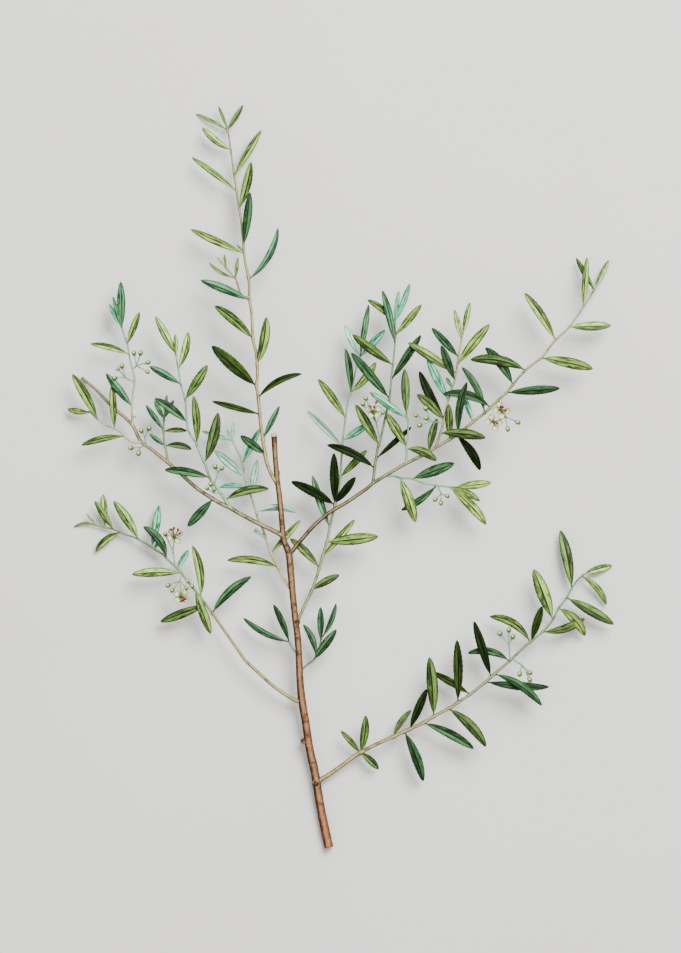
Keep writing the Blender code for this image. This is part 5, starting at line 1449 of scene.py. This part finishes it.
def make_leaves(name, plan, lines):
    """Leaves of a shoot, each from the nearest place on its stems."""
    draw = random.Random(name)
    shape = Shape()
    tones = sorted({leaf[7] for leaf in plan["leaves"]})
    for leaf in plan["leaves"]:
        across, down, tip_across, tip_down, width, bow, rise, tone, lit = leaf
        root = nearest_on(lines, across, down)
        tip = at(tip_across, tip_down, root.z / MM + rise)
        facts = (tones.index(tone), draw.random(), lit)
        blunt = (tip_across, tip_down) == STUB_LEAF_TIP
        add_leaf(shape, root, tip, width * STEP, bow * STEP, *facts, tone in UNDERSIDES, blunt)
    piece = shape.make(f"{name}_leaves", [leaf_materials[tone] for tone in tones])
    return piece


def make_shoot(name, plan):
    """Bark and leaves of a shoot; the leaves stand in for its solid."""
    lines = [route_points(plan["route"])] + [route_points(fork) for fork in plan.get("forks", [])]
    routes[name] = lines
    bark = make_bark(name, plan, lines)
    leaves = make_leaves(name, plan, lines)
    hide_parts(name)


def add_lenticels(shape, points, radii):
    """Small long warts scattered over the bark, none near the ends of the stem."""
    draw = random.Random("lenticels")
    for _ in range(LENTICELS):
        index = draw.randrange(LENTICEL_MARGIN, len(points) - LENTICEL_MARGIN)
        ahead = (points[index + 1] - points[index]).normalized()
        side = ahead.cross(UP).normalized()
        angle = draw.uniform(*LENTICEL_ANGLES)
        way = side * math.cos(angle) + side.cross(ahead) * math.sin(angle)
        size = draw.uniform(*LENTICEL_RADII) * MM
        middle = points[index] + way * radii[index] * LENTICEL_DEPTH
        add_egg(shape, middle, size, ahead, LENTICEL_STRETCH, kind=KNOB, mesh=LENTICEL_MESH)


def make_main_stem():
    """Brown woody stem with sawn ends, knobs, a resting bud and scattered lenticels."""
    line = route_points(MAIN_STEM)
    points, radii = smooth_line(line, [point[3] * MM for point in MAIN_STEM], RING_SPACING)
    radii[-1] *= PRUNED_FLARE
    shape = Shape()
    add_tube(shape, points, radii, STEM_SIDES, True, STEM_SEED, STEM_ROUGHNESS, PRUNED_SLOPE)
    for across, down, height, stretch, radius in STEM_KNOBS:
        middle = at(across, down, height)
        axis = middle - nearest_on([line], across, down)
        add_egg(shape, middle, radius * MM, axis, stretch, grown=KNOB_GROWN)
    across, down, height, stretch, radius = RESTING_BUD
    add_egg(shape, at(across, down, height), radius * MM, Vector((0.0, 1.0, 0.0)), stretch, kind=KNOB)
    add_lenticels(shape, points, radii)
    tones = STEM_COLOURS["main_stem"]
    # The stem's cream share for its streaks and for the painted highlight along its top.
    stem = bark_material("main_stem", *tones, highlight_and_streak=0.42, fine=1.5, rim=0.995, pale=CREAM_STEM)
    piece = shape.make("main_stem_bark", [stem, wood, bark_material("lenticels", LENTICEL, LENTICEL)])
    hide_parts("main_stem")
    routes["main_stem"] = [line]


def add_calyx(shape, foot, axis, radius):
    """Small green cup with four teeth under a bud or a flower."""
    ahead = axis.normalized()
    side, top = square_to(ahead)
    rings = []
    for reach, lift in CALYX_PROFILE:
        ring = []
        for number in range(CALYX_SIDES):
            turn = 2 * math.pi * number / CALYX_SIDES
            tooth = CALYX_TOOTH * math.cos(4 * turn) if lift > CALYX_TEETH_FROM else 0.0
            way = side * math.cos(turn) + top * math.sin(turn)
            spot = foot + ahead * radius * (lift + tooth) + way * radius * reach
            ring.append(shape.point(spot, lift, turn))
        rings.append(ring)
    shape.closed(rings)


def add_stalk(shape, start, end, radius, arch):
    """Thin stalk whose middle arches a little up, or sags where arch is below zero."""
    bend = start.lerp(end, 0.5) + UP * arch
    sizes = [radius * PEDICEL_FOOT, radius, radius * PEDICEL_HEAD]
    points, radii = smooth_line([start, bend, end], sizes, PEDICEL_SPACING)
    add_tube(shape, points, radii, STALK_SIDES, rough=STALK_ROUGHNESS)


def make_cluster(name, plan):
    """Stalked buds round a hub, every other bud one rise higher, and the stalks of the cluster's flowers."""
    root = nearest_on(routes[plan["parent"]], *plan["stalk"])
    across, down, lift = plan["hub"]
    hub = at(across, down, root.z / MM + lift)
    hubs[name] = hub
    stalks, buds = Shape(), Shape()
    add_stalk(stalks, root, hub, STALK_RADIUS, STALK_ARCH)
    for number, (across, down, width) in enumerate(plan["buds"]):
        middle = at(across, down, 0)
        middle.z = hub.z + BUD_RISE * (1 + number % 2)
        radius = 0.5 * width * STEP
        axis = (middle - hub).normalized()
        foot = middle - axis * radius * BUD_STRETCH
        add_stalk(stalks, hub, foot, PEDICEL_RADIUS, PEDICEL_ARCH)
        add_calyx(stalks, foot, axis, radius)
        add_egg(buds, middle, radius, axis, BUD_STRETCH, BUD_LOBES)
    for flower in FLOWERS.values():
        if flower["cluster"] == name:
            across, down, lift = flower["centre"]
            foot = at(across, down, 0)
            foot.z = hub.z + lift * MM - FLOWER_HEART_RADIUS - CAD_PEDICEL_RADIUS
            add_stalk(stalks, hub, foot, PEDICEL_RADIUS, FLOWER_STALK_ARCH)
    green = stalks.make(f"{name}_stalks", [stalk])
    round_buds = buds.make(f"{name}_buds", [bud_skin])
    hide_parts(name)


def add_petal(shape, root, middle, radius, tint):
    """Round cupped petal about its own middle on a narrow claw from the root, thin at its edge."""
    flat = Vector((middle.x - root.x, middle.y - root.y, 0.0))
    gap = flat.length
    ahead = flat.normalized()
    left = Vector((-ahead.y, ahead.x, 0.0))
    rings = []
    for row in range(PETAL_ROWS + 1):
        share = row / PETAL_ROWS
        reach = (gap + radius * PETAL_HALFWAY) * share * 2
        if share > 0.5:
            reach = gap + radius * (1.0 - (1.0 - share) ** PETAL_ROUNDING)
        reach = min(reach, gap + radius * PETAL_END)
        beyond = (reach - gap) / radius
        claw = PETAL_CLAW * radius if reach < gap else 0.0
        half = max(radius * math.sqrt(max(0.0, 1.0 - beyond ** 2)), claw)
        climb = PETAL_CUP * radius * beyond ** 2 + (middle.z - root.z) * min(1.0, reach / gap)
        spine = root + ahead * reach + UP * climb
        upper, lower = [], []
        for column in PETAL_COLUMNS:
            cup = UP * PETAL_CUP * half ** 2 / radius * column ** 2
            skin = UP * PETAL_THICKNESS * 0.5 * (1.0 - PETAL_THINNING * column ** 2)
            place = spine + left * half * column + cup
            facts = (reach / (gap + radius), column, tint)
            if abs(column) < 1.0:
                lower.append(shape.point(place - skin, *facts))
            upper.append(shape.point(place + skin, *facts))
        rings.append(upper + lower[::-1])
    shape.closed(rings)


def make_flower(name, plan):
    """Four cupped petals round a green ovary, with dark red anthers on thin filaments."""
    hub = hubs[plan["cluster"]]
    across, down, lift = plan["centre"]
    middle = at(across, down, hub.z / MM + lift)
    petals, heart, anthers = Shape(), Shape(), Shape()
    add_egg(heart, middle + UP * OVARY_RISE, OVARY_RADIUS, UP, OVARY_STRETCH, OVARY_LOBES)
    foot = middle - UP * FLOWER_HEART_RADIUS * FLOWER_CALYX_DROP
    add_calyx(heart, foot, UP, FLOWER_HEART_RADIUS * FLOWER_CALYX_WIDTH)
    for number, spot in enumerate(plan["petals"]):
        place = at(*spot, middle.z / MM + PETAL_RISE)
        add_petal(petals, middle, place, PETAL_RADIUS, number / 4)
    for spot in plan["anthers"]:
        head = at(*spot, middle.z / MM + ANTHER_RISE)
        add_stalk(heart, middle + UP * FILAMENT_FOOT, head, FILAMENT_RADIUS, PEDICEL_ARCH)
        add_egg(anthers, head, ANTHER_RADIUS, head - middle, ANTHER_STRETCH, ANTHER_LOBES, mesh=ANTHER_MESH)
    cream = petals.make(f"{name}_petals", [petal_skin])
    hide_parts(name)
    heart.make(f"{name}_heart", [heart_skin])
    anthers.make(f"{name}_anthers", [anther_skin])


def make_studio():
    """Pale floor under the branch, a large soft light from the upper right and a weak one opposite."""
    bpy.ops.mesh.primitive_plane_add(size=FLOOR_SIZE, location=(0.0, 0.0, 0.0))
    floor = bpy.context.object
    floor.name = "studio_floor"
    floor.data.materials.append(floor_material())
    for name, place, size, power in LIGHTS:
        data = bpy.data.lights.new(name, "AREA")
        data.shape = "DISK"
        data.size = size
        data.energy = power
        lamp = bpy.data.objects.new(name, data)
        lamp.location = place
        lamp.rotation_euler = (-Vector(place)).to_track_quat("-Z", "Y").to_euler()
        bpy.context.scene.collection.objects.link(lamp)
    world = bpy.data.worlds.new("studio")
    world.use_nodes = True
    world.node_tree.nodes["Background"].inputs["Color"].default_value = (1.0, 1.0, 1.0, 1.0)
    world.node_tree.nodes["Background"].inputs["Strength"].default_value = WORLD_STRENGTH
    bpy.context.scene.world = world


def make_camera():
    """Straight down on the branch, from so far that its height hardly changes its outline."""
    data = bpy.data.cameras.new("camera")
    data.sensor_width = SENSOR
    data.lens = SENSOR * CAMERA_DISTANCE / (PICTURE_HEIGHT * STEP)
    data.clip_end = 3 * CAMERA_DISTANCE
    camera = bpy.data.objects.new("camera", data)
    camera.location = (0.0, 0.0, CAMERA_DISTANCE + BRANCH_MIDDLE_HEIGHT)
    bpy.context.scene.collection.objects.link(camera)
    bpy.context.scene.camera = camera


# What the pieces share: the routes of the stems, the hubs of the clusters and the materials.
routes = {}
hubs = {}
wood = wood_material()
stalk = stalk_material()
bud_skin = bud_material()
petal_skin = petal_material()
heart_skin = heart_material()
anther_skin = anther_material()
leaf_materials = {tone: leaf_material(tone) for tone in LEAF_COLOURS}

make_main_stem()
for shoot_name, shoot_plan in SHOOTS.items():
    make_shoot(shoot_name, shoot_plan)
for cluster_name, cluster_plan in CLUSTERS.items():
    make_cluster(cluster_name, cluster_plan)
for flower_name, flower_plan in FLOWERS.items():
    make_flower(flower_name, flower_plan)
make_studio()
make_camera()
